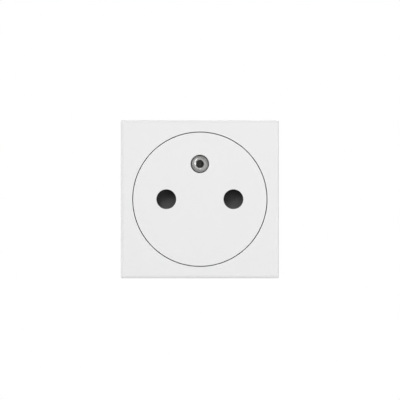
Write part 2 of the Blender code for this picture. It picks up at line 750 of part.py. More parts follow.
def leaf_path(side):
    """Path of a contact leaf in (y, z): mouth, throat and root, above or below the pin."""
    reach = THROAT_HALF + CONTACT_SHEET / 2
    return [
        (CONTACT_FRONT, side * (reach + MOUTH_FLARE)),
        (CONTACT_FRONT + MOUTH_LENGTH, side * reach),
        (CLIP_FOOT, side * (reach + ROOT_SPREAD)),
    ]


def contacts():
    """Brass contact strips from the gripping leaf down to the busbar, with their pressure clips."""
    for name, side in (("live", -1), ("neutral", 1)):
        centre = side * PIN_SPACING / 2
        low, high = centre - CONTACT_HALF_WIDTH, centre + CONTACT_HALF_WIDTH
        busbar_z = -(BUSBAR_FACE - BUSBAR / 2)
        mouth, throat, root = leaf_path(1)
        path = [
            mouth,
            throat,
            (CONTACT_BASE, root[1]),
            (CONTACT_BASE, busbar_z),
            (CONTACT_BASE - BUSBAR_LENGTH + OVERLAP, busbar_z),
        ]
        bm = bmesh.new()
        add_prism(bm, strip(path, CONTACT_SHEET), low, high, "X")
        contact = node(f"{name}_contact", bm, "brass")

        bm = bmesh.new()
        inner, outer = PIN_SPACING / 2 - CONTACT_HALF_WIDTH, TERMINAL_X + BUSBAR_HALF_WIDTH
        near, far = span(side, inner, outer)
        plate = rectangle(
            (CONTACT_BASE - BUSBAR_LENGTH, -BUSBAR_FACE), (CONTACT_BASE - CONTACT_SHEET, -BUSBAR_BACK)
        )
        add_prism(bm, plate, near, far, "X")
        join(contact, bm, "busbar")

        bm = bmesh.new()
        path = leaf_path(-1) + [(CLIP_FOOT, THROAT_HALF - FIT_GAP)]
        add_prism(bm, strip(path, CLIP_SHEET), low + CLIP_INSET, high - CLIP_INSET, "X")
        node(f"{name}_pressure_clip", bm, "spring_steel")


def earth_pin():
    """Turned pin with a bored, crowned tip, a collar behind the floor and a shank riveted over the strap."""
    mouth = EARTH_BORE_RADIUS + EARTH_BORE_MOUTH
    crown_centre = EARTH_TIP + math.sqrt(EARTH_CROWN**2 - mouth**2)
    inside = EARTH_PIN_RADIUS - EARTH_EDGE
    edge_centre = crown_centre - math.sqrt((EARTH_CROWN - EARTH_EDGE) ** 2 - inside**2)
    start = math.asin(mouth / EARTH_CROWN) - math.pi / 2
    turn = math.asin(inside / (EARTH_CROWN - EARTH_EDGE)) - math.pi / 2
    collar_back = FLOOR_BACK + FIT_GAP + COLLAR_THICKNESS
    head_front = STRAP_FRONT + BUSBAR + FIT_GAP
    profile = [
        (0, EARTH_TIP + EARTH_BORE_DEPTH),
        (EARTH_BORE_RADIUS, EARTH_TIP + EARTH_BORE_DEPTH),
        (EARTH_BORE_RADIUS, EARTH_TIP + EARTH_BORE_LEAD),
        *arc(EARTH_CROWN, start, turn, 4, (0, crown_centre)),
        *arc(EARTH_EDGE, turn, 0, 3, (inside, edge_centre))[1:],
        (EARTH_PIN_RADIUS, FLOOR_BACK + FIT_GAP),
        (COLLAR_RADIUS, FLOOR_BACK + FIT_GAP),
        (COLLAR_RADIUS, collar_back),
        (RIVET_RADIUS, collar_back),
        (RIVET_RADIUS, head_front),
        (RIVET_HEAD_RADIUS, head_front),
        (RIVET_HEAD_RADIUS - RIVET_HEAD / 2, RIVET_BACK - RIVET_HEAD / 5),
        (0, RIVET_BACK),
    ]
    bm = bmesh.new()
    add_turned(bm, profile, steps=32)
    node("earth_pin", bm, "nickel", (0, 0, EARTH_OFFSET))


def earth_strap():
    """Brass angle: one leg under the pin's rivet, the other one the busbar of the earth terminal."""
    middle = STRAP_FRONT + BUSBAR / 2
    path = [
        (middle, EARTH_OFFSET - COLLAR_RADIUS),
        (middle, BUSBAR_FACE - BUSBAR / 2),
        (CONTACT_BASE, BUSBAR_FACE - BUSBAR / 2),
    ]
    bm = bmesh.new()
    add_prism(bm, strip(path, BUSBAR), -BUSBAR_HALF_WIDTH, BUSBAR_HALF_WIDTH, "X")
    strap = node("earth_strap", bm, "brass")
    bm = bmesh.new()
    hole = RIVET_RADIUS + SCREW_GAP
    add_rod(bm, hole, STRAP_FRONT - OVERSHOOT, middle + OVERSHOOT, (0, EARTH_OFFSET), SMALL_STEPS)
    cut(strap, bm, "rivet_hole")


def clamp_springs():
    """Folded leaf springs that trap the wires. The three terminals share one shape."""
    path = [
        (CLAMP_TIP_DEPTH - CLAMP_OVERHANG, CLAMP_Z),
        (CLAMP_BEND_DEPTH, CLAMP_Z),
        (CLAMP_BEND_DEPTH + CLAMP_BEND, (CLAMP_Z + CLAMP_BEND_Z) / 2),
        (CLAMP_BEND_DEPTH, CLAMP_BEND_Z),
        (CLAMP_TIP_DEPTH, CLAMP_TIP_Z),
    ]
    bm = bmesh.new()
    add_prism(bm, strip(path, CLAMP_SHEET), -CLAMP_HALF_WIDTH, CLAMP_HALF_WIDTH, "X")
    mesh = mesh_of("clamp_spring", bm)
    for name, x, side in terminal_places():
        turn = 0 if side > 0 else math.pi
        node(f"{name}_clamp_spring", mesh, "spring_steel", (x, 0, 0), (0, turn, 0))


def release_buttons():
    """Buttons beside the wires: pressed from behind, their slanted ends push the clamp springs off."""
    slope = (CLAMP_BEND_Z - CLAMP_TIP_Z) / (CLAMP_BEND_DEPTH - CLAMP_TIP_DEPTH)
    clear = (CLAMP_SHEET / 2 + FIT_GAP) * math.hypot(1, slope)
    low, high = WIRE_Z - BUTTON_HALF_HEIGHT, WIRE_Z + BUTTON_HALF_HEIGHT

    def leaf_depth(z):
        """Depth at which a piece at the height z meets the leaf, less its clearance."""
        return CLAMP_TIP_DEPTH + (z + clear - CLAMP_TIP_Z) / slope

    shoulder_back = COVER_FRONT - FIT_GAP
    profile = [
        (leaf_depth(low), low),
        (leaf_depth(high), high),
        (COVER_BACK + BUTTON_PROUD, high),
        (COVER_BACK + BUTTON_PROUD, low),
    ]
    bm = bmesh.new()
    add_prism(bm, profile, -BUTTON_HALF_WIDTH, BUTTON_HALF_WIDTH, "X")
    bmesh.ops.translate(bm, verts=bm.verts, vec=(0, -COVER_BACK, -WIRE_Z))
    mesh = mesh_of("release_button", bm)
    for name, x, side in terminal_places():
        turn = 0 if side > 0 else math.pi
        place = (x, COVER_BACK, side * WIRE_Z)
        button = node(f"{name}_release_button", mesh, "button_grey", place, (0, turn, 0))
        bm = bmesh.new()
        half = BUTTON_HALF_WIDTH + BUTTON_SHOULDER
        back = shoulder_back - COVER_BACK
        front = back - BUTTON_SHOULDER_DEPTH
        reach = BUTTON_HALF_HEIGHT - FIT_GAP
        add_prism(bm, rectangle((-half, -reach), (half, reach)), front, back)
        join(button, bm, "shoulder")


def disc(carriage):
    """Round face with its skirt, the guide lugs and the seats of everything that it carries."""
    bm = bmesh.new()
    profile = [
        (0, 0),
        (DISC_RADIUS - DISC_EDGE_ROUND, 0),
        (DISC_RADIUS, DISC_EDGE_ROUND),
        (DISC_RADIUS, CARRIAGE_BACK),
        (DISC_INNER, CARRIAGE_BACK),
        (DISC_INNER, DISC_WALL),
        (0, DISC_WALL),
    ]
    add_turned(bm, profile, steps=LARGE_STEPS)
    piece = node("front_disc", bm, "face_white", parent=carriage)

    bm = bmesh.new()
    lug = rectangle((DISC_INNER + FIT_GAP, -LUG_WIDTH / 2), (LUG_RADIUS, LUG_WIDTH / 2))
    for angle in DIAGONALS:
        add_prism(bm, turned_by(lug, angle), FRONT_WALL + LUG_PLAY, CARRIAGE_BACK - FIT_GAP)
    join(piece, bm, "lugs")

    bm = bmesh.new()
    into_wall = DISC_WALL - OVERSHOOT
    for place in spring_places().values():
        add_rod(bm, CUP_RADIUS, into_wall, SHUTTER_BACK, place)
    add_rod(bm, EARTH_HOLE_RADIUS + EARTH_SLEEVE, into_wall, SHUTTER_BACK, (0, EARTH_OFFSET))
    stake = [
        (0, into_wall),
        (STAKE_POST_RADIUS, into_wall),
        (STAKE_POST_RADIUS, SHUTTER_BACK),
        (STAKE_RADIUS, SHUTTER_BACK),
        (STAKE_RADIUS, RETAINER_FRONT + STAKE_LEAD),
        (STAKE_HEAD_RADIUS, CARRIAGE_BACK - 2 * STAKE_LEAD),
        (STAKE_HEAD_RADIUS, CARRIAGE_BACK - STAKE_LEAD),
        (0, CARRIAGE_BACK - STAKE_LEAD),
    ]
    for place in stake_places():
        add_turned(bm, stake, place, SMALL_STEPS)
    stop = SHUTTER_HALF_HEIGHT + FIT_GAP
    for side in (-1, 1):
        near, far = span(side, RAIL_OUTSIDE - RAIL_WIDTH, RAIL_OUTSIDE)
        add_prism(bm, rectangle((near, -RAIL_END), (far, stop)), into_wall, SHUTTER_BACK)
    outlines = [
        rectangle((-STOP_HALF_WIDTH, stop), (STOP_HALF_WIDTH, stop + RIB)),
        rectangle(
            (-SPRING_RIB_HALF_WIDTH, SPRING_RIB_TOP - RIB),
            (SPRING_RIB_HALF_WIDTH, SPRING_RIB_TOP),
        ),
    ]
    for outline in outlines:
        add_prism(bm, outline, into_wall, SHUTTER_BACK)
    join(piece, bm, "seats")

    bm = bmesh.new()
    peg = circle(SPRING_PEG_RADIUS, SMALL_STEPS, (0, SHUTTER_SPRING_DEPTH))
    add_prism(bm, peg, SPRING_RIB_TOP - OVERLAP, SPRING_RIB_TOP + SPRING_PEG_LENGTH, "Z")
    join(piece, bm, "spring_peg")

    bm = bmesh.new()
    for place in pin_places():
        add_rod(bm, PIN_HOLE_RADIUS, -OVERSHOOT, DISC_WALL + OVERSHOOT, place, 32)
    add_rod(bm, EARTH_HOLE_RADIUS, -OVERSHOOT, SHUTTER_BACK + OVERSHOOT, (0, EARTH_OFFSET), 32)
    for place in spring_places().values():
        add_rod(bm, SPRING_BORE, DISC_WALL - CUP_SINK, SHUTTER_BACK + OVERSHOOT, place)
    cut(piece, bm, "holes")


def retainer(carriage):
    """Plate staked to the back of the disc, which keeps the shutter in."""
    bm = bmesh.new()
    add_prism(bm, circle(DISC_INNER - FIT_GAP, LARGE_STEPS), RETAINER_FRONT, CARRIAGE_BACK)
    plate = node("shutter_retainer", bm, "body_grey", parent=carriage)
    bm = bmesh.new()
    before, behind = RETAINER_FRONT - OVERSHOOT, CARRIAGE_BACK + OVERSHOOT
    for place in pin_places():
        add_rod(bm, FLOOR_HOLE_RADIUS, before, behind, place)
    add_rod(bm, EARTH_HOLE_RADIUS + FIT_GAP, before, behind, (0, EARTH_OFFSET))
    stake_hole = [
        (0, before),
        (STAKE_RADIUS + FIT_GAP, before),
        (STAKE_RADIUS + FIT_GAP, RETAINER_FRONT + STAKE_LEAD),
        (STAKE_HEAD_RADIUS + FIT_GAP, CARRIAGE_BACK - 2 * STAKE_LEAD),
        (STAKE_HEAD_RADIUS + FIT_GAP, behind),
        (0, behind),
    ]
    for place in stake_places():
        add_turned(bm, stake_hole, place, SMALL_STEPS)
    cut(plate, bm, "holes")

    bm = bmesh.new()
    for angle in RETURN_SPRING_ANGLES.values():
        mouth = [(DISC_RADIUS, SPRING_BORE), (DISC_RADIUS, -SPRING_BORE)]
        bottom = arc(SPRING_BORE, -math.pi / 2, -3 * math.pi / 2, MEDIUM_STEPS // 2, (SPRING_CIRCLE, 0))
        add_prism(bm, turned_by(mouth + bottom, angle), before, behind)
    cut(plate, bm, "spring_notches")


def shutter(guide):
    """Slider with a sloping blade behind each pin hole: both pins together drive it down."""
    half = SHUTTER_HALF_HEIGHT
    profile = [
        (SHUTTER_FRONT, -half),
        (SHUTTER_FRONT, -half + SHUTTER_LIP),
        (SHUTTER_BACK - SHUTTER_LIP, half),
        (SHUTTER_BACK, half),
        (SHUTTER_BACK, -half),
    ]
    bm = bmesh.new()
    add_prism(bm, profile, -SHUTTER_HALF_WIDTH, SHUTTER_HALF_WIDTH, "X")
    piece = node("shutter", bm, "shutter_grey", parent=guide)
    bm = bmesh.new()
    bridge = PIN_SPACING / 2 - BLADE_HALF_WIDTH
    outline = rectangle((-bridge, -half - OVERSHOOT), (bridge, half + OVERSHOOT))
    add_prism(bm, outline, SHUTTER_FRONT - OVERSHOOT, SHUTTER_FRONT + BRIDGE_STEP)
    cut(piece, bm, "bridge_step")
    bm = bmesh.new()
    slot = SPRING_SLOT_HALF
    outline = rectangle(
        (-slot, SHUTTER_FRONT - OVERSHOOT), (slot, SHUTTER_SPRING_DEPTH + slot)
    )
    add_prism(bm, outline, -half - OVERSHOOT, SPRING_SLOT_TOP, "Z")
    cut(piece, bm, "spring_slot")


def coil_spring(name, radius, wire, length, turns, location, rotation=(0, 0, 0), parent=None):
    """Compression spring along its own Z, with a closed turn at each end."""
    steps = 10
    rise = length - wire
    closed = wire * 1.1
    pitch = (rise - 2 * closed) / (turns - 2)
    curve = bpy.data.curves.new(name, "CURVE")
    curve.dimensions = "3D"
    curve.bevel_depth = wire / 2
    curve.bevel_resolution = 1
    curve.use_fill_caps = True
    spline = curve.splines.new("POLY")
    spline.points.add(turns * steps)
    for i, point in enumerate(spline.points):
        turn = i / steps
        height = min(turn, 1) * closed
        height += min(max(turn - 1, 0), turns - 2) * pitch
        height += max(turn - turns + 1, 0) * closed
        angle = math.tau * turn
        point.co = (radius * math.cos(angle), radius * math.sin(angle), wire / 2 + height, 1)
    curve.materials.append(finish_material("spring_steel"))
    spring = link(name, curve)
    spring.location = location
    spring.rotation_euler = rotation
    spring.parent = parent


def springs(carriage):
    """The disc's three return springs, and the one that lifts the shutter back over the holes."""
    front = DISC_WALL + FIT_GAP
    length = POCKET_BOTTOM - FIT_GAP - front
    for name, (x, z) in spring_places().items():
        coil_spring(
            name,
            RETURN_COIL_RADIUS,
            RETURN_WIRE,
            length,
            RETURN_TURNS,
            (x, front, z),
            (-math.pi / 2, 0, 0),
        )
    bottom = SPRING_RIB_TOP + FIT_GAP
    coil_spring(
        "shutter_spring",
        SHUTTER_COIL_RADIUS,
        SHUTTER_WIRE,
        SPRING_SLOT_TOP - FIT_GAP - bottom,
        SHUTTER_TURNS,
        (0, SHUTTER_SPRING_DEPTH, bottom),
        parent=carriage,
    )


def build():
    clear_scene()
    carriage = axis_empty("disc_slide_axis")
    guide = axis_empty("shutter_slide_axis", parent=carriage)
    bezel()
    housing()
    rear_cover()
    cover_screws()
    contacts()
    earth_pin()
    earth_strap()
    clamp_springs()
    release_buttons()
    disc(carriage)
    retainer(carriage)
    shutter(guide)
    springs(carriage)


build()
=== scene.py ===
# %% [markdown]
# # The looks of a surface socket module
#
# The CAD frame brings 24 solids of a square socket module: a white bezel, a round disc that a plug
# pushes back into its well, the shutter, the earth pin, the contacts and the grey housing. They are
# true to size, but their curves are coarse and their edges sharp. This script gives each finer
# curves, rounded edges and the grain of its material, and keeps to the frame's box.

# %% The frame, and the box that it fills
import json
import math

import bmesh
import bpy
from mathutils import Matrix, Vector

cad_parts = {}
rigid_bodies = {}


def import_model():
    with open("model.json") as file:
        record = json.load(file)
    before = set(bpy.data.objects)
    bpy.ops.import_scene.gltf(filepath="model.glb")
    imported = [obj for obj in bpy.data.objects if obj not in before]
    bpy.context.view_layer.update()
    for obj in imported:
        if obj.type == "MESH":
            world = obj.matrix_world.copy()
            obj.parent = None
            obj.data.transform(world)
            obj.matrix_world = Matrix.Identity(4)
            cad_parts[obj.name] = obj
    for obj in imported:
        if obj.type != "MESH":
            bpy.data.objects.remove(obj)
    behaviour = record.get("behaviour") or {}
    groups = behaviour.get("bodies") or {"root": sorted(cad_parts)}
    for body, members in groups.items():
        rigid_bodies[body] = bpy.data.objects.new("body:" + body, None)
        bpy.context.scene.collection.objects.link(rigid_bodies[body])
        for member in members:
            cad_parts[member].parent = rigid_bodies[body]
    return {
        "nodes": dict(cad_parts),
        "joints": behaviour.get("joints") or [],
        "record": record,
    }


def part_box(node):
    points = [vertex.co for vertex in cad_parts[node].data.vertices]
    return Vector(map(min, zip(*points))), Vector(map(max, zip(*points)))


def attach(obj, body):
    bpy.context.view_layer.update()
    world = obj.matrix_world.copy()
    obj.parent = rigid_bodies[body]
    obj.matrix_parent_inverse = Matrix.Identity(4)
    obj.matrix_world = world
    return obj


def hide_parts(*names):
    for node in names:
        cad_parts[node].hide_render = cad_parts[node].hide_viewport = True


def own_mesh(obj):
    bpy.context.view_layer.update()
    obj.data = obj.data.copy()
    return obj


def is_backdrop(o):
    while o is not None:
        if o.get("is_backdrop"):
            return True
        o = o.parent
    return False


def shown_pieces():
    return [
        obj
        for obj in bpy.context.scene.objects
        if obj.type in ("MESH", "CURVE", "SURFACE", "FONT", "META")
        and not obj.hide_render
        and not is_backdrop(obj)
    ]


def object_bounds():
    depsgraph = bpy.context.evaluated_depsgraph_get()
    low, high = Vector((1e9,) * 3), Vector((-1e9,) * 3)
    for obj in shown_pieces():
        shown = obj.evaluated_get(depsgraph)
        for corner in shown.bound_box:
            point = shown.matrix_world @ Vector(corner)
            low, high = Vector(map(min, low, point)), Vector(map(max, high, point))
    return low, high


scene = bpy.context.scene
for leftover in list(bpy.data.objects):
    bpy.data.objects.remove(leftover, do_unlink=True)
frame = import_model()
cad_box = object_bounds()
MM = 0.001
print("CAD box in mm:", [tuple(round(c / MM, 2) for c in corner) for corner in cad_box])

# %% [markdown]
# ## The studio
#
# The picture looks straight at the face from far away, so the module's sides don't show. The camera
# stands 1.2 m off, and its long lens follows from the frame's width at the face.

# %% Camera, straight in front of the face
CAMERA_DISTANCE = 1.2
FRAME_WIDTH = 0.11323
FACE_SHIFT = (0.00004, -0.00022)

camera = bpy.data.objects.new("camera", bpy.data.cameras.new("camera"))
camera.data.lens = camera.data.sensor_width * CAMERA_DISTANCE / FRAME_WIDTH
camera.data.clip_end = 20
camera.location = (FACE_SHIFT[0], -CAMERA_DISTANCE, FACE_SHIFT[1])
camera.rotation_euler = (math.radians(90), 0, 0)
scene.collection.objects.link(camera)
bpy.context.scene.camera = camera
scene.view_settings.view_transform = "Standard"
print("lens in mm:", round(camera.data.lens, 1))

# %% [markdown]
# Light and finishes are chains of shader nodes. One helper makes a node, sets its options and gives
# its inputs numbers or links. The others put the commonest nodes on one line.

# %% Helpers for shader nodes


def add_node(tree, kind, inputs=(), **options):
    """A shader node, whose inputs take numbers or other nodes' sockets."""
    node = tree.nodes.new(f"ShaderNode{kind}")
    for name, value in options.items():
        setattr(node, name, value)
    for name, value in dict(inputs).items():
        if isinstance(value, bpy.types.NodeSocket):
            tree.links.new(value, node.inputs[name])
        else:
            node.inputs[name].default_value = value
    return node


def maths(tree, operation, *values, **options):
    """The result of a calculation with numbers or sockets."""
    return add_node(tree, "Math", enumerate(values), operation=operation, **options).outputs["Value"]


def vector_maths(tree, operation, *values, result="Vector"):
    """The result of a calculation with vectors: a number for "Value"."""
    return add_node(tree, "VectorMath", enumerate(values), operation=operation).outputs[result]


def mapped(tree, value, span, lowest=0, curve="SMOOTHSTEP"):
    """A value that runs over a span, turned into a lowest value to 1."""
    inputs = {"Value": value, "From Min": span[0], "From Max": span[1], "To Min": lowest}
    return add_node(tree, "MapRange", inputs, interpolation_type=curve).outputs["Result"]


def mixed(tree, share, first, second):
    """Two shaders, mixed by the share of the second."""
    return add_node(tree, "MixShader", {"Fac": share, 1: first, 2: second}).outputs["Shader"]


# %% [markdown]
# The backdrop is pure white, and yet the face is a light grey, so the two need separate levels. A
# camera ray finds white, and a diffuse ray the softer level that fills the shadows. A glossy ray
# finds white too, except where the camera stands: that side is dim in a studio, and without it the
# end of the metal pin would vanish. The dim side lies a little to the left and up, so the pin's ring
# isn't evenly grey.

# %% World: white to look at, softer as a light
SKY_FILL = 0.38
DIM_SIDE = 0.3
DIM_SPAN = (-0.95, -0.35)
BRIGHT_WAY = Vector((0.35, 1.0, -0.25)).normalized()

world = bpy.data.worlds.new("studio")
scene.world = world
world.use_nodes = True
sky = world.node_tree
sky.nodes.clear()
way = add_node(sky, "TexCoord").outputs["Generated"]
slant = vector_maths(sky, "DOT_PRODUCT", way, BRIGHT_WAY, result="Value")
mirrored, seen, fill = (
    add_node(sky, "Background", {"Color": (1, 1, 1, 1), "Strength": strength}).outputs["Background"]
    for strength in (mapped(sky, slant, DIM_SPAN, DIM_SIDE), 1, SKY_FILL)
)
ray = add_node(sky, "LightPath").outputs
lit = mixed(sky, ray["Is Glossy Ray"], fill, mirrored)
looking = maths(sky, "MAXIMUM", ray["Is Camera Ray"], ray["Is Transmission Ray"])
add_node(sky, "OutputWorld", {"Surface": mixed(sky, looking, lit, seen)})
print("world nodes:", len(sky.nodes))

# %% [markdown]
# Six soft lamps shape the edges. The main one hangs high to the left in front, so the rim is darkest
# along the bottom, and one overhead lightens the top. The front lamp shines into the pin holes, the
# left one lights the left rim alone, the right one draws the bright crescent at the earth pin's bore,
# and the last one lights the rear.

# %% Lamps: place, width and power
LAMPS = {
    "main_lamp": ((-0.72, -1.52, 0.72), 0.8, 10.3),
    "top_lamp": ((-0.1, -0.1, 1.0), 0.5, 1.3),
    "front_lamp": ((0.2, -1.1, 0.0), 0.8, 2.3),
    "left_lamp": ((-0.9, 0.05, 0.25), 0.44, 0.8),
    "right_lamp": ((0.83, -0.4, -0.1), 0.44, 2.1),
    "back_lamp": ((0.3, 0.9, 0.7), 0.6, 4.0),
}

for name, (place, width, power) in LAMPS.items():
    light = bpy.data.lights.new(name, "AREA")
    light.shape = "SQUARE"
    light.size = width
    light.energy = power
    lamp = bpy.data.objects.new(name, light)
    lamp.location = place
    lamp.rotation_euler = (-Vector(place)).to_track_quat("-Z", "Y").to_euler()
    scene.collection.objects.link(lamp)
    print(name, "stands off in m:", round(Vector(place).length, 2))

# %% [markdown]
# The module hangs free, with a pale floor well below it that catches its shadow. Towards its edge the
# floor fades into the white of the world, so that no horizon shows.

# %% Floor
FLOOR_HEIGHT = -0.08
FLOOR_RADIUS = 0.42
FLOOR_FADE = (0.1, 0.95 * FLOOR_RADIUS)
FLOOR_TONE = (0.86, 0.86, 0.86, 1)


def as_object(name, shape):
    """An object in the scene that holds a bmesh."""
    mesh = bpy.data.meshes.new(name)
    shape.to_mesh(mesh)
    shape.free()
    obj = bpy.data.objects.new(name, mesh)
    scene.collection.objects.link(obj)
    return obj


floor_shape = bmesh.new()
bmesh.ops.create_circle(floor_shape, cap_ends=True, segments=96, radius=FLOOR_RADIUS)
bmesh.ops.translate(floor_shape, verts=floor_shape.verts, vec=(0, 0, FLOOR_HEIGHT))
floor = as_object("floor", floor_shape)
floor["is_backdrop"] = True


def new_material(name):
    """A material with its node tree and its shader node."""
    material = bpy.data.materials.new(name)
    material.use_nodes = True
    return material, material.node_tree, material.node_tree.nodes["Principled BSDF"]


floor_material, tree, paint = new_material("floor")
floor.data.materials.append(floor_material)
paint.inputs["Base Color"].default_value = FLOOR_TONE
paint.inputs["Roughness"].default_value = 0.9
spot = add_node(tree, "TexCoord").outputs["Object"]
away = vector_maths(tree, "LENGTH", spot, result="Value")
white = add_node(tree, "Emission").outputs["Emission"]
faded = mixed(tree, mapped(tree, away, FLOOR_FADE), paint.outputs["BSDF"], white)
tree.links.new(faded, tree.nodes["Material Output"].inputs["Surface"])
print("floor radius in m:", FLOOR_RADIUS)

# %% [markdown]
# ## Finishes
#
# A new socket is clean, so small things tell its materials: the skin of moulded plastic, the rings of
# a lathe, the scratches of rolled sheet. Three node groups hold these effects, and a fourth marks the
# inside of a bore, where shade is painted. They read Object coordinates, so the grain keeps its real
# size.

# %% Helpers for node groups


def spaced(values):
    """The same values with spaces in their names, as sockets have them."""
    return {label.replace("_", " "): value for label, value in values.items()}


def effect_group(name, **inputs):
    """A shader node group with named number inputs, and their sockets inside it."""
    group = bpy.data.node_groups.new(name, "ShaderNodeTree")
    for label, value in spaced(inputs).items():
        socket = group.interface.new_socket(label, in_out="INPUT", socket_type="NodeSocketFloat")
        socket.default_value = value
    return group, group.nodes.new("NodeGroupInput").outputs


def put_out(group, **values):
    """Gives a node group its outputs."""
    for label in values:
        group.interface.new_socket(label, in_out="OUTPUT", socket_type="NodeSocketFloat")
    output = group.nodes.new("NodeGroupOutput")
    for label, value in values.items():
        group.links.new(value, output.inputs[label])
    print("effect:", group.name, "puts out", ", ".join(values))


# %% [markdown]
# Moulded plastic copies its steel mould. Polished steel leaves a faint orange peel, and spark-eroded
# steel a fine even grain. One noise for the grain and a wider one for changes of gloss give both.

# %% Node group: moulded skin
skin, given = effect_group(
    "moulded_skin", Grain_Scale=2600, Cloud_Scale=60, Gloss=0.3, Gloss_Spread=0.06, Tint_Spread=0.02
)
spot = add_node(skin, "TexCoord").outputs["Object"]
grain = add_node(skin, "TexNoise", {"Vector": spot, "Scale": given["Grain Scale"], "Detail": 3})
cloud = add_node(skin, "TexNoise", {"Vector": spot, "Scale": given["Cloud Scale"], "Detail": 2})
centred = maths(skin, "SUBTRACT", cloud.outputs["Fac"], 0.5)
put_out(
    skin,
    Height=grain.outputs["Fac"],
    Roughness=maths(skin, "MULTIPLY_ADD", centred, given["Gloss Spread"], given["Gloss"]),
    Tint=maths(skin, "MULTIPLY_ADD", centred, given["Tint Spread"], 1),
)

# %% [markdown]
# Metal keeps the direction of its making. A noise that is squeezed along two axes draws scratches
# along the third, so three stretch values turn one group into rolled sheet, drawn wire or a polished
# strip. A second, slower noise adds patches of tarnish.

# %% Node group: metal lines
PATCH_SCALE = 260
PATCH_SPAN = (0.45, 0.75)

lines, given = effect_group(
    "metal_lines", Along_X=40, Along_Y=2500, Along_Z=2500, Gloss=0.25, Gloss_Spread=0.2, Tarnish=0.1
)
spot = add_node(lines, "TexCoord").outputs["Object"]
stretch = add_node(lines, "CombineXYZ", {axis: given[f"Along {axis}"] for axis in "XYZ"}).outputs
squeezed = vector_maths(lines, "MULTIPLY", spot, stretch["Vector"])
scratch = add_node(lines, "TexNoise", {"Vector": squeezed, "Scale": 1, "Detail": 4}).outputs["Fac"]
stain = add_node(lines, "TexNoise", {"Vector": spot, "Scale": PATCH_SCALE, "Detail": 5}).outputs["Fac"]
patches = mapped(lines, stain, PATCH_SPAN, curve="LINEAR")
put_out(
    lines,
    Height=scratch,
    Roughness=maths(lines, "MULTIPLY_ADD", scratch, given["Gloss Spread"], given["Gloss"]),
    Tint=maths(lines, "SUBTRACT", 1, maths(lines, "MULTIPLY", patches, given["Tarnish"])),
)

# %% [markdown]
# A turned piece has rings round its axis, on its end and along its side. The distance from the axis
# plus the depth grows over both, and a noise of that one number draws the rings.

# %% Node group: lathe rings
RING_TINT = (0.12, 0.9)


def from_axis(group, axis_x, axis_z):
    """How far a point lies from an axis along the depth, and how deep it lies."""
    spot = add_node(group, "TexCoord").outputs["Object"]
    axis = add_node(group, "CombineXYZ", {"X": axis_x, "Z": axis_z}).outputs["Vector"]
    offset = vector_maths(group, "SUBTRACT", spot, axis)
    across = vector_maths(group, "MULTIPLY", offset, (1, 0, 1))
    depth = add_node(group, "SeparateXYZ", {"Vector": offset}).outputs["Y"]
    return vector_maths(group, "LENGTH", across, result="Value"), depth


rings, given = effect_group(
    "lathe_rings", Axis_X=0, Axis_Z=0, Pitch=0.06 * MM, Gloss=0.22, Gloss_Spread=0.12
)
radius, depth = from_axis(rings, given["Axis X"], given["Axis Z"])
turns = maths(rings, "DIVIDE", maths(rings, "ADD", radius, depth), given["Pitch"])
noise = add_node(rings, "TexNoise", {"W": turns, "Scale": 1, "Detail": 2}, noise_dimensions="1D")
ring = noise.outputs["Fac"]
put_out(
    rings,
    Height=ring,
    Roughness=maths(rings, "MULTIPLY_ADD", ring, given["Gloss Spread"], given["Gloss"]),
    Tint=maths(rings, "MULTIPLY_ADD", ring, *RING_TINT),
)

# %% [markdown]
# A deep bore gets painted shade: its colour is darkened where its walls would hold shade, and it is
# made rougher. This mask is 1 within a radius of the axis and well behind the bore's mouth.

# %% Node group: where shade is painted inside a bore
painted_bore_shade, given = effect_group("painted_bore_shade", Axis_Z=0, Radius=1.2 * MM, Mouth=0, Fade=1 * MM)
radius, depth = from_axis(painted_bore_shade, 0, given["Axis Z"])
within = maths(painted_bore_shade, "LESS_THAN", radius, given["Radius"])
behind = maths(painted_bore_shade, "SUBTRACT", depth, given["Mouth"])
share = maths(painted_bore_shade, "DIVIDE", behind, given["Fade"], use_clamp=True)
put_out(painted_bore_shade, Mask=maths(painted_bore_shade, "MULTIPLY", within, share))

# %% [markdown]
# Every finish is then one recipe: a colour times the group's tint, its roughness, and a bump of its
# height. The bump is a few thousandths of a millimetre deep, so close and far views agree.

# %% A helper for finishes


def finish(name, group, colour, bump, metallic=0.0, **values):
    """A material whose colour, roughness and bump come from one effect group."""
    material, tree, shader = new_material(name)
    shader.inputs["Metallic"].default_value = metallic
    effect = add_node(tree, "Group", spaced(values), node_tree=group).outputs
    tinted = add_node(tree, "VectorMath", {0: colour, "Scale": effect["Tint"]}, operation="SCALE")
    relief = add_node(tree, "Bump", {"Strength": 1, "Distance": bump, "Height": effect["Height"]})
    tree.links.new(tinted.outputs["Vector"], shader.inputs["Base Color"])
    tree.links.new(effect["Roughness"], shader.inputs["Roughness"])
    tree.links.new(relief.outputs["Normal"], shader.inputs["Normal"])
    return material


# %% [markdown]
# The bezel and the disc come from a polished mould, so they are glossier than the grey housing, whose
# mould is spark-eroded. The buttons and the shutter lie between.

# %% Plastics
white_plastic = finish(
    "white_plastic", skin, (0.83, 0.83, 0.83), 0.004 * MM,
    Grain_Scale=1800, Cloud_Scale=45, Gloss=0.3, Gloss_Spread=0.08, Tint_Spread=0.012,
)
grey_plastic = finish(
    "grey_plastic", skin, (0.6, 0.61, 0.62), 0.014 * MM,
    Grain_Scale=4200, Cloud_Scale=90, Gloss=0.52, Gloss_Spread=0.12, Tint_Spread=0.05,
)
shutter_plastic = finish(
    "shutter_plastic", skin, (0.088, 0.088, 0.09), 0.006 * MM,
    Grain_Scale=3000, Cloud_Scale=120, Gloss=0.38, Gloss_Spread=0.1, Tint_Spread=0.15,
)
button_plastic = finish(
    "button_plastic", skin, (0.22, 0.23, 0.24), 0.008 * MM,
    Grain_Scale=3600, Cloud_Scale=150, Gloss=0.42, Gloss_Spread=0.1, Tint_Spread=0.08,
)

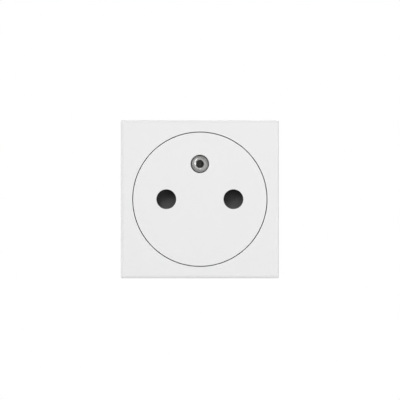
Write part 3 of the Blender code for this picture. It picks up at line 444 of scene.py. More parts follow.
# %% [markdown]
# The earth pin and the screws are turned, the brass is rolled along X, the spring strip is polished
# across it, and the wire is drawn. A screw's rings need its own axis, so each screw has its own zinc.

# %% Metals


def middle_of(node):
    """The (x, z) middle of a CAD node."""
    low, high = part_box(node)
    return ((low.x + high.x) / 2, (low.z + high.z) / 2)


EARTH_AT = middle_of("earth_pin")
turned_nickel = finish(
    "turned_nickel", rings, (0.6, 0.597, 0.59), 0.002 * MM, metallic=1.0,
    Axis_Z=EARTH_AT[1], Pitch=0.05 * MM, Gloss=0.2, Gloss_Spread=0.14,
)
rolled_brass = finish(
    "rolled_brass", lines, (0.75, 0.52, 0.21), 0.003 * MM, metallic=1.0,
    Along_X=45, Along_Y=2600, Along_Z=2600, Gloss=0.2, Gloss_Spread=0.25, Tarnish=0.22,
)
polished_strip = finish(
    "polished_strip", lines, (0.56, 0.56, 0.57), 0.002 * MM, metallic=1.0,
    Along_X=2600, Along_Y=60, Along_Z=60, Gloss=0.16, Gloss_Spread=0.2, Tarnish=0.12,
)
drawn_wire = finish(
    "drawn_wire", lines, (0.5, 0.5, 0.51), 0.002 * MM, metallic=1.0,
    Along_X=900, Along_Y=5200, Along_Z=900, Gloss=0.2, Gloss_Spread=0.22, Tarnish=0.18,
)
zinc = {
    side: finish(
        f"zinc_{side}", rings, (0.62, 0.63, 0.65), 0.003 * MM, metallic=1.0,
        Axis_X=middle_of(f"cover_screw_{side}")[0], Pitch=0.09 * MM, Gloss=0.26, Gloss_Spread=0.2,
    )
    for side in ("left", "right")
}
print("finishes:", [m.name for m in bpy.data.materials if m.use_nodes and m is not floor_material])

# %% [markdown]
# ## Shaping tools
#
# Most pieces are turned or cut from bars and blocks, so a few short helpers do nearly all of it: rods
# along the depth axis, blocks, a square plate with round corners, and Booleans.

# %% Rods, blocks and plates


def rods(shape, places, front, back, front_radius, back_radius=None, segments=64):
    """Bars or cones along the depth axis, between two depths, at (x, z)."""
    turn = Matrix.Rotation(math.radians(-90), 4, "X")
    for x, z in places:
        place = Matrix.Translation((x, (front + back) / 2, z)) @ turn
        bmesh.ops.create_cone(
            shape, cap_ends=True, segments=segments, depth=back - front, matrix=place,
            radius1=front_radius, radius2=back_radius or front_radius,
        )


def around(middle, reach):
    """A range, given by its middle."""
    return middle - reach, middle + reach


def block(shape, *ranges):
    """A box that fills a range of X, of Y and of Z, whose ends come in any order."""
    low, high = (Vector(ends) for ends in zip(*map(sorted, ranges)))
    size = Matrix.Diagonal((*(high - low), 1))
    made = bmesh.ops.create_cube(shape, size=1, matrix=Matrix.Translation((low + high) / 2) @ size)
    return made["verts"]


def four_blocks(shape, *ranges):
    """A block for each diagonal, turned there round the depth axis."""
    for angle in (45, 135, 225, 315):
        turn = Matrix.Rotation(math.radians(angle), 4, "Y")
        bmesh.ops.transform(shape, matrix=turn, verts=block(shape, *ranges))


def bevel(shape, geometry, radius, segments, affect="EDGES"):
    """Rounds edges, or corners of a flat face."""
    bmesh.ops.bevel(
        shape, geom=geometry, offset=radius, offset_type="OFFSET", segments=segments,
        profile=0.5, affect=affect, material=-1,
    )


def extrude_to(shape, depth, scale=1.0, pick=min):
    """Extrudes the foremost face, or with max the rearmost, to a depth, and scales it."""
    face = pick(shape.faces, key=lambda f: f.calc_center_median().y)
    closed = all(len(edge.link_faces) == 2 for edge in face.edges)
    moved = bmesh.ops.extrude_face_region(shape, geom=[face])["geom"]
    if closed:
        bmesh.ops.delete(shape, geom=[face], context="FACES_ONLY")
    verts = [item for item in moved if isinstance(item, bmesh.types.BMVert)]
    bmesh.ops.translate(shape, verts=verts, vec=(0, depth - verts[0].co.y, 0))
    bmesh.ops.scale(shape, verts=verts, vec=(scale, 1, scale))


def square_plate(half, corner, start, end, segments=8):
    """A square plate with round corners, from one depth to another."""
    shape = bmesh.new()
    stand_up = Matrix.Translation((0, start, 0)) @ Matrix.Rotation(math.radians(90), 4, "X")
    bmesh.ops.create_grid(shape, x_segments=1, y_segments=1, size=half, matrix=stand_up)
    bevel(shape, shape.verts[:], corner, segments, "VERTICES")
    extrude_to(shape, end)
    bmesh.ops.recalc_face_normals(shape, faces=shape.faces)
    return shape


# %% Booleans
MERGE = 0.0005 * MM
CUT, JOIN = "DIFFERENCE", "UNION"


def carve(shape, *steps):
    """The bmesh after Boolean steps, each an operation and its bmesh."""
    target = as_object("carved", shape)
    tools = []
    for operation, tool in steps:
        tools.append(as_object("tool", tool))
        modifier = target.modifiers.new(operation, "BOOLEAN")
        modifier.operation = operation
        modifier.solver = "EXACT"
        modifier.use_self = True
        modifier.object = tools[-1]
    evaluated = target.evaluated_get(bpy.context.evaluated_depsgraph_get())
    result = bmesh.new()
    result.from_mesh(evaluated.to_mesh())
    evaluated.to_mesh_clear()
    for obj in (target, *tools):
        mesh = obj.data
        bpy.data.objects.remove(obj)
        bpy.data.meshes.remove(mesh)
    bmesh.ops.remove_doubles(result, verts=result.verts, dist=MERGE)
    bmesh.ops.dissolve_limit(
        result, angle_limit=math.radians(0.3), verts=result.verts, edges=result.edges
    )
    return result


# %% [markdown]
# No moulded or turned edge is truly sharp, and the thin highlight along an edge makes a surface look
# real. The edges to round are picked by where they are, because their numbers change with the shape.
# The last step of every piece lets the shading run smoothly over gentle edges, keeps flat faces flat,
# and ties the piece to the CAD node that it stands for.

# %% Rounding edges, and the last step of every piece
SHARP = math.radians(30)


def round_edges(shape, radius, segments, wanted):
    """Rounds the sharp edges whose two ends both pass a test."""
    edges = [
        edge
        for edge in shape.edges
        if len(edge.link_faces) == 2
        and edge.calc_face_angle() > SHARP
        and all(wanted(vert.co) for vert in edge.verts)
    ]
    bevel(shape, edges, radius, segments)
    return len(edges)


def place_piece(name, shape, material, node):
    """Turns a bmesh into a piece that rides with, and stands for, its CAD node."""
    piece = as_object(name, shape)
    mesh = piece.data
    mesh.materials.append(material)
    mesh.shade_smooth()
    mesh.set_sharp_from_angle(angle=SHARP)
    level = piece.modifiers.new("flat_faces_stay_flat", "WEIGHTED_NORMAL")
    level.keep_sharp = True
    bodies = frame["record"]["behaviour"]["bodies"]
    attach(piece, next(body for body, members in bodies.items() if node in members))
    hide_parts(node)
    print(f"{name}: {len(mesh.polygons)} faces")
    return piece


# %% [markdown]
# ## Bezel
#
# The bezel is the square front: a plate with a round window and a skirt, moulded in one. Its rim is a
# quarter circle all the way round, and its corners stay almost sharp. Extruding the front face in
# small, shrinking steps sweeps that quarter circle round the square.

# %% Bezel block, window and skirt
FACE_HALF = cad_box[1].x
LOOP_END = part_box("front_bezel")[1].y
BEZEL_DEPTH = LOOP_END - 9 * MM
EDGE_ROUND = 1.0 * MM
BEZEL_CORNER = 0.4 * MM
FRONT_WALL = 2.2 * MM
SKIRT = 1.4 * MM
WINDOW_RADIUS = 19.125 * MM
PAST = 1 * MM
MIDDLE = [(0, 0)]
print("face half, bezel depth in mm:", round(FACE_HALF / MM, 3), round(BEZEL_DEPTH / MM, 3))


def round_off(shape, half, edge, end, towards, steps):
    """Sweeps a quarter circle round a plate, towards the front (-1) or the rear (1)."""
    size = half
    for step in range(1, steps + 1):
        angle = math.pi / 2 * step / steps
        next_size = half - edge * (1 - math.cos(angle))
        depth = end - towards * edge * (1 - math.sin(angle))
        extrude_to(shape, depth, next_size / size, max if towards > 0 else min)
        size = next_size
    bmesh.ops.recalc_face_normals(shape, faces=shape.faces)


bezel = square_plate(FACE_HALF, BEZEL_CORNER, BEZEL_DEPTH, EDGE_ROUND)
round_off(bezel, FACE_HALF, EDGE_ROUND, 0, -1, 12)
skirt_inside = square_plate(FACE_HALF - SKIRT, BEZEL_CORNER, BEZEL_DEPTH + PAST, FRONT_WALL)
window = bmesh.new()
rods(window, MIDDLE, -PAST, FRONT_WALL + PAST, WINDOW_RADIUS, segments=256)

# %% [markdown]
# Four snap loops, flat tabs with a window each, reach back from the bezel and click over wedges on
# the housing. A Boolean joins them to the bezel.

# %% Snap loops
LOOP_Z = 13 * MM
LOOP_HALF_WIDTH = 3.5 * MM
LOOP_OUTSIDE = 20.7 * MM
LOOP_INSIDE = LOOP_OUTSIDE - 1.0 * MM
LOOP_WINDOW_HALF = 2.0 * MM
LOOP_WINDOW_BACK = LOOP_END - 1.5 * MM
LOOP_WINDOW_FRONT = LOOP_WINDOW_BACK - 3.5 * MM
SINK = 0.5 * MM
NEAR = 0.001 * MM
OVERLAP = 0.01 * MM
CORNERS = [(sx, sz) for sx in (-1, 1) for sz in (-1, 1)]

loops, loop_windows = bmesh.new(), bmesh.new()
for sx, sz in CORNERS:
    foot, inside, joint = FRONT_WALL - SINK, sx * LOOP_INSIDE, sx * (FACE_HALF - SKIRT / 2)
    heights = around(sz * LOOP_Z, LOOP_HALF_WIDTH)
    block(loops, (inside, sx * LOOP_OUTSIDE), (foot, LOOP_END), heights)
    block(loops, (inside, joint), (foot, BEZEL_DEPTH - SINK), heights)
    across = (sx * (LOOP_INSIDE - PAST), sx * (LOOP_OUTSIDE + PAST))
    heights = around(sz * LOOP_Z, LOOP_WINDOW_HALF)
    block(loop_windows, across, (LOOP_WINDOW_FRONT, LOOP_WINDOW_BACK), heights)
bezel = carve(bezel, (CUT, skirt_inside), (CUT, window), (JOIN, loops), (CUT, loop_windows))
reach = WINDOW_RADIUS + OVERLAP
rim = round_edges(bezel, 0.09 * MM, 3, lambda co: co.y < NEAR and math.hypot(co.x, co.z) < reach)
tabs = round_edges(bezel, 0.12 * MM, 2, lambda co: co.y > BEZEL_DEPTH + OVERLAP)
print("window rim edges:", rim, "tab edges:", tabs)
place_piece("bezel", bezel, white_plastic, "front_bezel")

# %% [markdown]
# ## Disc
#
# The disc is what a plug pushes back into the well. It is turned from half of its section: the face,
# a finely rounded edge, and the skirt that guides it. 256 steps keep its thin bright edge round.

# %% Turned profiles


def sweep(shape, outline, centre, steps, turns=1, along=(0, 1, 0), rise=0.0):
    """Spins an outline round an axis while it climbs; returns what the last step made."""
    climb = Vector(along) * rise / steps
    return bmesh.ops.spin(
        shape, geom=outline, cent=centre, axis=along, dvec=climb,
        angle=math.tau * turns, steps=steps, use_merge=rise == 0,
    )["geom_last"]


def close_up(shape):
    """Merges the points that meet, and turns all faces outwards."""
    bmesh.ops.remove_doubles(shape, verts=shape.verts, dist=MERGE)
    bmesh.ops.recalc_face_normals(shape, faces=shape.faces)
    return shape


def turned(profile, centre=(0.0, 0.0), steps=96):
    """A bmesh turned from (radius, depth) points, which start and end on the axis."""
    shape = bmesh.new()
    x, z = centre
    points = [shape.verts.new((x + radius, depth, z)) for radius, depth in profile]
    line = [shape.edges.new(pair) for pair in zip(points, points[1:])]
    sweep(shape, points + line, (x, 0, z), steps)
    return close_up(shape)


def fillet(centre, radius, start, end, steps=6):
    """Profile points along an arc, in degrees: 0 is away from the axis, 90 to the back."""
    angles = [math.radians(start + (end - start) * step / steps) for step in range(steps + 1)]
    return [(centre[0] + radius * math.cos(a), centre[1] + radius * math.sin(a)) for a in angles]


# %% Face and skirt of the disc
DISC_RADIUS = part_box("front_disc")[1].x
DISC_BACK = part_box("front_disc")[1].y
DISC_WALL = 2.0 * MM
DISC_SKIRT = 1.2 * MM
DISC_EDGE = 0.11 * MM
DISC_INNER = DISC_RADIUS - DISC_SKIRT

disc = turned(
    [
        (0, 0),
        *fillet((DISC_RADIUS - DISC_EDGE, DISC_EDGE), DISC_EDGE, -90, 0),
        *fillet((DISC_RADIUS - DISC_EDGE, DISC_BACK - DISC_EDGE), DISC_EDGE, 0, 90, 3),
        (DISC_INNER, DISC_BACK),
        (DISC_INNER, DISC_WALL),
        (0, DISC_WALL),
    ],
    steps=256,
)
print("disc radius in mm:", round(DISC_RADIUS / MM, 3), "faces:", len(disc.faces))

# %% [markdown]
# Behind the face sit the seats of what the disc carries: cups for the return springs, a sleeve round
# the earth pin, the shutter's rails and its stop, and a rib for its spring.

# %% Seats behind the disc
SEAT_ROOT = DISC_WALL - 0.6 * MM
SEAT_END = 7.5 * MM
SPRINGS = ("return_spring_left", "return_spring_right", "return_spring_lower")
CUP_RADIUS = 3.5 * MM
SPRING_BORE = 2.9 * MM
SLEEVE_RADIUS = 3.7 * MM
RIB = 1.2 * MM
RAILS = (-8.8 * MM, 3.4 * MM)
RAIL_X = 14.05 * MM
STOP_HALF = 4.0 * MM
SPRING_RIB = (-9.3 * MM - RIB, -9.3 * MM)
SPRING_RIB_HALF = 3.0 * MM

seats = bmesh.new()
springs_at = [middle_of(node) for node in SPRINGS]
rods(seats, springs_at, SEAT_ROOT, SEAT_END, CUP_RADIUS)
rods(seats, [EARTH_AT], SEAT_ROOT, SEAT_END, SLEEVE_RADIUS)
for across, heights in (
    (around(-RAIL_X, RIB / 2), RAILS),
    (around(RAIL_X, RIB / 2), RAILS),
    (around(0, STOP_HALF), (RAILS[1], RAILS[1] + RIB)),
    (around(0, SPRING_RIB_HALF), SPRING_RIB),
):
    block(seats, across, (SEAT_ROOT, SEAT_END), heights)
print("seats:", len(seats.faces), "faces")

# %% [markdown]
# Four posts stand there too, whose thin ends pass through the retainer plate and are staked over into
# wide heads. Four lugs slide in grooves of the well, which keeps the disc from turning.

# %% Posts and lugs
RETAINER_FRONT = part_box("shutter_retainer")[0].y
POST_CIRCLE = DISC_INNER - 1.9 * MM
POST_ANGLES = (68, 112, 237, 303)
POST, STAKE, STAKE_HEAD = 1.6 * MM, 0.8 * MM, 1.5 * MM
HEAD_FRONT = DISC_BACK - 0.3 * MM
LUG_END = 20.1 * MM
LUG_FRONT = 2.6 * MM
LUG_HALF = 1.9 * MM
LUG_SINK = 0.3 * MM

posts = bmesh.new()
angles = [math.radians(angle) for angle in POST_ANGLES]
posts_at = [(POST_CIRCLE * math.cos(angle), POST_CIRCLE * math.sin(angle)) for angle in angles]
rods(posts, posts_at, SEAT_ROOT, SEAT_END, POST, segments=48)
rods(posts, posts_at, SEAT_END - SINK, RETAINER_FRONT + 0.4 * MM, STAKE, segments=48)
rods(posts, posts_at, RETAINER_FRONT + 0.15 * MM, HEAD_FRONT, STAKE, STAKE_HEAD, 48)
rods(posts, posts_at, HEAD_FRONT - OVERLAP, DISC_BACK - 0.15 * MM, STAKE_HEAD, segments=48)

lugs = bmesh.new()
four_blocks(lugs, (DISC_INNER + LUG_SINK, LUG_END), (LUG_FRONT, HEAD_FRONT), around(0, LUG_HALF))
round_edges(lugs, 0.2 * MM, 3, lambda co: math.hypot(co.x, co.z) > DISC_RADIUS + LUG_SINK)
print("posts:", len(POST_ANGLES), "lug faces:", len(lugs.faces))

# %% [markdown]
# The pin holes, the earth hole and the bores of the cups are cut in one Boolean. The holes are crisp
# in the picture, so their rims are rounded by only a few hundredths of a millimetre: a wider lip
# would draw a light ring.

# %% Holes of the disc
PINS_AT = ((-9.5 * MM, 0), (9.5 * MM, 0))
PIN_HOLE = 2.8 * MM
EARTH_HOLE = 2.6 * MM
HOLE_LIP = 0.03 * MM

holes = bmesh.new()
rods(holes, PINS_AT, -PAST, DISC_WALL + PAST, PIN_HOLE, segments=96)
rods(holes, [EARTH_AT], -PAST, SEAT_END + PAST, EARTH_HOLE, segments=96)
rods(holes, springs_at, DISC_WALL - 0.1 * MM, SEAT_END + PAST, SPRING_BORE)
disc = carve(disc, (JOIN, seats), (JOIN, posts), (JOIN, lugs), (CUT, holes))
lips = round_edges(disc, HOLE_LIP, 4, lambda co: co.y < NEAR and math.hypot(co.x, co.z) < DISC_INNER)
print("hole lip edges:", lips)
place_piece("disc", disc, white_plastic, "front_disc")

# %% [markdown]
# ## Earth pin
#
# The earth pin is turned from a bar: a crowned end with a bore, a long shank, a collar and a riveted
# head. Its end is the only bare metal on the front, so it gets true arcs: a shallow crown, and a small
# arc that touches both the crown and the shank, so no line shows between them.

# %% Earth pin
PIN_LOW, PIN_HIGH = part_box("earth_pin")
EARTH_RADIUS = 2.4 * MM
EARTH_TIP = PIN_LOW.y
BORE = 1.14 * MM
BORE_MOUTH = 1.49 * MM
BORE_LEAD = 0.25 * MM
BORE_DEPTH = 6 * MM
CROWN = 4.2 * MM
CROWN_EDGE = 0.35 * MM
COLLAR_RADIUS = 3.3 * MM
COLLAR_EDGE = 0.1 * MM
COLLAR_FRONT = 26.6 * MM
COLLAR_BACK = 27.4 * MM
NECK_RADIUS = 1.8 * MM
RIVET_FRONT = 28.8 * MM
RIVET_RADIUS = 2.9 * MM
RIVET_FLAT = 1.9 * MM
RIVET_ROUND = 0.85 * MM

edge_x, edge_reach = EARTH_RADIUS - CROWN_EDGE, CROWN - CROWN_EDGE
crown_centre = EARTH_TIP + math.sqrt(CROWN**2 - BORE_MOUTH**2)
crown_start = math.degrees(math.asin(BORE_MOUTH / CROWN)) - 90
crown_end = math.degrees(math.asin(edge_x / edge_reach)) - 90
edge_centre = crown_centre - math.sqrt(edge_reach**2 - edge_x**2)
earth = turned(
    [
        (0, EARTH_TIP + BORE_DEPTH + 0.5 * MM),
        (BORE, EARTH_TIP + BORE_DEPTH),
        (BORE, EARTH_TIP + BORE_LEAD),
        *fillet((0, crown_centre), CROWN, crown_start, crown_end, 10),
        *fillet((edge_x, edge_centre), CROWN_EDGE, crown_end, 0, 8),
        (EARTH_RADIUS, COLLAR_FRONT),
        *fillet((COLLAR_RADIUS, COLLAR_FRONT + COLLAR_EDGE), COLLAR_EDGE, -90, 0, 3),
        *fillet((COLLAR_RADIUS, COLLAR_BACK - COLLAR_EDGE), COLLAR_EDGE, 0, 90, 3),
        (NECK_RADIUS, COLLAR_BACK),
        (NECK_RADIUS, RIVET_FRONT),
        (RIVET_RADIUS, RIVET_FRONT),
        *fillet((RIVET_FLAT, PIN_HIGH.y - RIVET_ROUND), RIVET_ROUND, 20, 90, 6),
        (0, PIN_HIGH.y),
    ],
    centre=EARTH_AT,
    steps=128,
)
place_piece("earth_contact_pin", earth, turned_nickel, "earth_pin")

# %% [markdown]
# The pin's bore now gets painted shade: a darker colour, and a higher roughness. The mask starts behind
# the countersink, and the finish's own colour and roughness pass through it.

# %% Painted shade inside the bore of the earth pin
BORE_PAINTED_SHADE = 0.5
BORE_ROUGHNESS = 0.3

tree = turned_nickel.node_tree
shader = tree.nodes["Principled BSDF"].inputs
colour, gloss = (shader[name].links[0].from_socket for name in ("Base Color", "Roughness"))
mouth = EARTH_TIP + BORE_LEAD
wall = {"Axis Z": EARTH_AT[1], "Radius": BORE + 0.04 * MM, "Mouth": mouth, "Fade": 0.8 * MM}
mask = add_node(tree, "Group", wall, node_tree=painted_bore_shade).outputs["Mask"]
# painted shade: the bore's colour is darkened by this share of the mask
keep = maths(tree, "MULTIPLY_ADD", mask, -BORE_PAINTED_SHADE, 1)
shaded = add_node(tree, "VectorMath", {0: colour, "Scale": keep}, operation="SCALE")
tree.links.new(shaded.outputs["Vector"], shader["Base Color"])
tree.links.new(maths(tree, "MULTIPLY_ADD", mask, BORE_ROUGHNESS, gloss), shader["Roughness"])
print("bore darkened from the depth in mm:", round(mouth / MM, 2))

# %% [markdown]
# ## Shutter
#
# Behind the pin holes stands the shutter, one slider with a sloping blade for each hole, which a pair
# of pins drives down. The CAD solid only lacks soft edges, so a copy of its mesh is merged from
# triangles into faces, and its edges are rounded.

# %% A soft-edged copy of a CAD node


def soft_piece(name, node, radius, material, segments=2, wanted=lambda co: True):
    """A piece made of a CAD node's own mesh, merged, with its sharp edges rounded."""
    shape = bmesh.new()
    shape.from_mesh(frame["nodes"][node].data)
    bmesh.ops.remove_doubles(shape, verts=shape.verts, dist=0.02 * MM)
    flat = math.radians(0.5)
    bmesh.ops.dissolve_limit(shape, angle_limit=flat, verts=shape.verts, edges=shape.edges)
    round_edges(shape, radius, segments, wanted)
    return place_piece(name, shape, material, node)


# %% Shutter and the plate that keeps it in
soft_piece("shutter_slider", "shutter", 0.15 * MM, shutter_plastic, 3)


def inner(co):
    """Whether a point lies well inside the skirt of the disc."""
    return math.hypot(co.x, co.z) < DISC_INNER - 1 * MM


soft_piece("retainer_plate", "shutter_retainer", 0.05 * MM, grey_plastic, wanted=inner)

# %% [markdown]
# ## Springs
#
# A coil spring is a circle swept along a helix, and spin does that when each step also moves along
# the axis. The end turns are wound closed, so three spins follow each other: a closed turn, the open
# turns, and a closed turn.

# %% Coil springs
WIRE_SIDES = 14
COIL_STEPS = 36
CLOSED_RISE = 1.08


def coil(centre, along, start, length, radius, wire, turns):
    """A compression spring along an axis, from a start on it."""
    shape = bmesh.new()
    closed_rise = wire * CLOSED_RISE
    open_rise = length - wire - 2 * closed_rise
    foot = Vector(centre) + Vector(along) * (start + wire / 2)
    stand = Matrix.Rotation(math.radians(90) * along[2], 4, "X")
    place = Matrix.Translation(foot + Vector((radius, 0, 0))) @ stand
    ring = bmesh.ops.create_circle(
        shape, cap_ends=True, segments=WIRE_SIDES, radius=wire / 2, matrix=place
    )["verts"]
    cap = ring[0].link_faces[0]
    section = [cap, *cap.edges, *cap.verts]
    for rise, count in ((closed_rise, 1), (open_rise, turns - 2), (closed_rise, 1)):
        section = sweep(shape, section, foot, COIL_STEPS * count, count, along, rise)
    return close_up(shape)


# %% [markdown]
# The return springs stand behind the disc. Their heads follow it and their feet don't. Each coil is
# built at its full length.

# %% Return springs
RETURN_COIL = (2.2 * MM, 0.5 * MM, 10)


def travel_of(joint):
    """How far a joint moves."""
    return next(entry["range_m"][1] for entry in frame["joints"] if entry["name"] == joint)


for name in SPRINGS:
    low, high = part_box(name)
    x, z = middle_of(name)
    spring = coil((x, 0, z), (0, 1, 0), low.y, high.y - low.y, *RETURN_COIL)
    print(name, "edges not closed:", sum(len(edge.link_faces) != 2 for edge in spring.edges))
    piece = place_piece(f"{name}_wire", spring, drawn_wire, name)
    keep = (high.y - low.y - travel_of("disc_retract")) / (high.y - low.y)
    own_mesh(piece)

# %% [markdown]
# The shutter's own spring is half as wide and a third as long. It stands upright between the shutter
# and a rib of the disc, and is built at its full length.

# %% Shutter spring
SHUTTER_COIL = (1.05 * MM, 0.3 * MM, 9)

low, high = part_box("shutter_spring")
x, _ = middle_of("shutter_spring")
depth = (low.y + high.y) / 2
small_spring = coil((x, depth, 0), (0, 0, 1), low.z, high.z - low.z, *SHUTTER_COIL)
piece = place_piece("shutter_spring_wire", small_spring, drawn_wire, "shutter_spring")
keep = (high.z - low.z - travel_of("shutter_slide")) / (high.z - low.z)
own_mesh(piece)
print("the shutter spring keeps", round(keep, 3), "of its length")

# %% [markdown]
# ## Metal strips
#
# The contacts, their clips, the earth strap and the clamps are bent from punched sheet. Its edges are
# nearly sharp, so a very small rounding is right.

# %% Contacts, clips and strap
BRASS_ROUND = 0.04 * MM
STRIP_ROUND = 0.05 * MM
STRAP_ROUND = 0.08 * MM

for side in ("live", "neutral"):
    contact, clip = f"{side}_contact", f"{side}_pressure_clip"
    soft_piece(f"{side}_contact_strip", contact, BRASS_ROUND, rolled_brass)
    soft_piece(f"{side}_clip_strip", clip, STRIP_ROUND, polished_strip)
soft_piece("earth_strap_angle", "earth_strap", STRAP_ROUND, rolled_brass)

# %% [markdown]
# A clamp spring gives way when its button is pressed: the slanted leaf folds towards its outer arm on
# the wall of the housing. Each leaf is a soft-edged copy of its CAD solid.

for terminal in ("live", "neutral", "earth"):
    node = f"{terminal}_clamp_spring"
    leaf = soft_piece(f"{terminal}_clamp_leaf", node, STRIP_ROUND, polished_strip)
    low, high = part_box(node)
    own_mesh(leaf)

# %% [markdown]
# ## Rear cover
#
# The cover closes the housing from behind. It is a plate whose rear edge is curved like the bezel's,
# with six funnels for wires, three windows for the release buttons and two countersunk screw holes.

# %% Rear cover
COVER_LOW, COVER_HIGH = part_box("rear_cover")
COVER_HALF = COVER_HIGH.x
COVER_CORNER = 3.0 * MM
COVER_EDGE = 0.6 * MM
WIRE_OFFSET = 4.3 * MM
WIRE_HOLE = 1.7 * MM
WIRE_FUNNEL = 2.1 * MM
BUTTON_WINDOW = (1.5 * MM, 1.45 * MM)
SCREW_HOLE = 1.15 * MM
SCREW_RECESS = 2.2 * MM
SCREW_SEAT = COVER_HIGH.y - 1.05 * MM
BUTTONS = ("live_release_button", "neutral_release_button", "earth_release_button")
SCREWS = ("cover_screw_left", "cover_screw_right")

cover = square_plate(COVER_HALF, COVER_CORNER, COVER_LOW.y, COVER_HIGH.y - COVER_EDGE, 16)
round_off(cover, COVER_HALF, COVER_EDGE, COVER_HIGH.y, 1, 6)

before, behind = COVER_LOW.y - PAST, COVER_HIGH.y + PAST
flare = (WIRE_FUNNEL - WIRE_HOLE) / (COVER_HIGH.y - COVER_LOW.y) * PAST
openings = bmesh.new()
for x, z in map(middle_of, BUTTONS):
    wires_at = ((x - WIRE_OFFSET, z), (x + WIRE_OFFSET, z))
    rods(openings, wires_at, before, COVER_LOW.y + 0.2 * MM, WIRE_HOLE)
    rods(openings, wires_at, COVER_LOW.y, behind, WIRE_HOLE, WIRE_FUNNEL + flare)
    block(openings, around(x, BUTTON_WINDOW[0]), (before, behind), around(z, BUTTON_WINDOW[1]))
screws_at = [middle_of(node) for node in SCREWS]
rods(openings, screws_at, before, COVER_HIGH.y - SINK, SCREW_HOLE)
rods(openings, screws_at, SCREW_SEAT, COVER_HIGH.y, SCREW_HOLE, SCREW_RECESS)
rods(openings, screws_at, COVER_HIGH.y - OVERLAP, behind, SCREW_RECESS)
cover = carve(cover, (CUT, openings))


def on_the_rear(co):
    """Whether a point lies on the cover's rear face, away from its edge."""
    return co.y > COVER_HIGH.y - NEAR and max(abs(co.x), abs(co.z)) < COVER_HALF - 1 * MM


print("rim edges of the cover:", round_edges(cover, 0.1 * MM, 3, on_the_rear))
place_piece("rear_cover_plate", cover, grey_plastic, "rear_cover")

# %% [markdown]
# ## Screws
#
# Each screw is turned, threaded and punched. The thread is a triangle spun round the shank while it
# climbs, and the cross recess two tapering bars, because a punch has to come out again.

# %% Body and cross recess of a screw
THREAD_CORE = 0.74 * MM
POINT_LENGTH = 1.6 * MM
SCREW_NECK = 0.95 * MM
HEAD_RADIUS = 2.0 * MM
HEAD_EDGE = 0.05 * MM
HEAD_DEPTH = 1.2 * MM
CROSS_HALF_WIDTH, CROSS_HALF_LENGTH, CROSS_DEPTH = 0.24 * MM, 1.24 * MM, 0.9 * MM
CROSS_TAPER = (0.5, 1, 0.5)


def screw_body(at, low, high):
    """A turned, countersunk screw whose head faces the rear."""
    neck, rim = high - HEAD_DEPTH, HEAD_RADIUS - HEAD_EDGE
    profile = [
        (0, low),
        (THREAD_CORE * 0.3, low + 0.1 * MM),
        (THREAD_CORE, low + POINT_LENGTH),
        (THREAD_CORE, neck - 0.2 * MM),
        (SCREW_NECK, neck),
        (rim, high - 0.12 * MM),
        *fillet((rim, high - 0.07 * MM), HEAD_EDGE, -20, 90, 4),
        (rim - 0.02 * MM, high),
        (0, high),
    ]
    return turned(profile, at, 72)


def cross_recess(at, high):
    """The cutter of a cross recess."""
    cross = bmesh.new()
    long, narrow = CROSS_HALF_LENGTH, CROSS_HALF_WIDTH
    centred = Matrix.Translation((-at[0], 0, -at[1]))
    for reach_x, reach_z in ((narrow, long), (long, narrow)):
        depths = (high - CROSS_DEPTH, high + PAST)
        bar = block(cross, around(at[0], reach_x), depths, around(at[1], reach_z))
        bottom = [vert for vert in bar if vert.co.y < high]
        bmesh.ops.scale(cross, verts=bottom, vec=CROSS_TAPER, space=centred)
    return cross


# %% Thread, and both screws
THREAD_CREST = 0.94 * MM
THREAD_PITCH = 0.8 * MM
THREAD_STEPS = 36


def add_thread(shape, at, start, end):
    """Winds whole turns of thread round the core."""
    count = int((end - start) / THREAD_PITCH)
    root = THREAD_CORE - 0.04 * MM
    tooth = [(root, -0.2 * MM), (THREAD_CREST, 0.0), (root, 0.2 * MM)]
    section = shape.faces.new([shape.verts.new((at[0] + r, start + y, at[1])) for r, y in tooth])
    outline = [section, *section.edges, *section.verts]
    steps = THREAD_STEPS * count
    sweep(shape, outline, (at[0], start, at[1]), steps, count, rise=THREAD_PITCH * count)
    bmesh.ops.recalc_face_normals(shape, faces=shape.faces)
    print("turns of thread:", count)


for side, node in zip(("left", "right"), SCREWS):
    low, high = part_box(node)
    at = middle_of(node)
    screw = carve(screw_body(at, low.y, high.y), (CUT, cross_recess(at, high.y)))
    add_thread(screw, at, low.y + 1.3 * MM, high.y - HEAD_DEPTH - 0.6 * MM)
    place_piece(f"{node}_turned", screw, zinc[side], node)

# %% [markdown]
# ## Housing
#
# The housing is one grey moulding with the well in front and the contact chambers behind. Softening a
# copy of the CAD solid would fold it, because some of its edges are a few hundredths of a millimetre
# long. So it is built again from plates, rods and blocks.

# %% Housing: outside, well and rear chamber
BODY_HALF = 20.7 * MM
BODY_CORNER = 3.0 * MM
BODY_INNER = 19.3 * MM
BODY_LOW, BODY_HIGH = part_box("housing")
BODY_FRONT, BODY_BACK = BODY_LOW.y, BODY_HIGH.y
WELL_FLOOR = 24.3 * MM
FLOOR_BACK = 26.3 * MM
GROOVE_RADIUS = 20.4 * MM
GROOVE_HALF = 2.2 * MM

housing = square_plate(BODY_HALF, BODY_CORNER, BODY_BACK, BODY_FRONT, 12)
chamber = square_plate(BODY_INNER, BODY_CORNER - SKIRT, BODY_BACK + PAST, FLOOR_BACK)
well = bmesh.new()
rods(well, MIDDLE, BODY_FRONT - PAST, WELL_FLOOR, WINDOW_RADIUS, segments=192)
four_blocks(well, (0, GROOVE_RADIUS), (BODY_FRONT - PAST, WELL_FLOOR), around(0, GROOVE_HALF))
print("well depth in mm:", round((WELL_FLOOR - BODY_FRONT) / MM, 1))

# %% [markdown]
# Thick plastic sinks as it cools, so a moulder hollows the corners between the round well and the
# square outside. Each hollow is a block minus a cylinder a little wider than the well, which leaves an
# even wall.

# %% Hollow corners
CAVITY_START = 9 * MM
CAVITY_SIDE = 17.9 * MM
CAVITY_RADIUS = 21.4 * MM

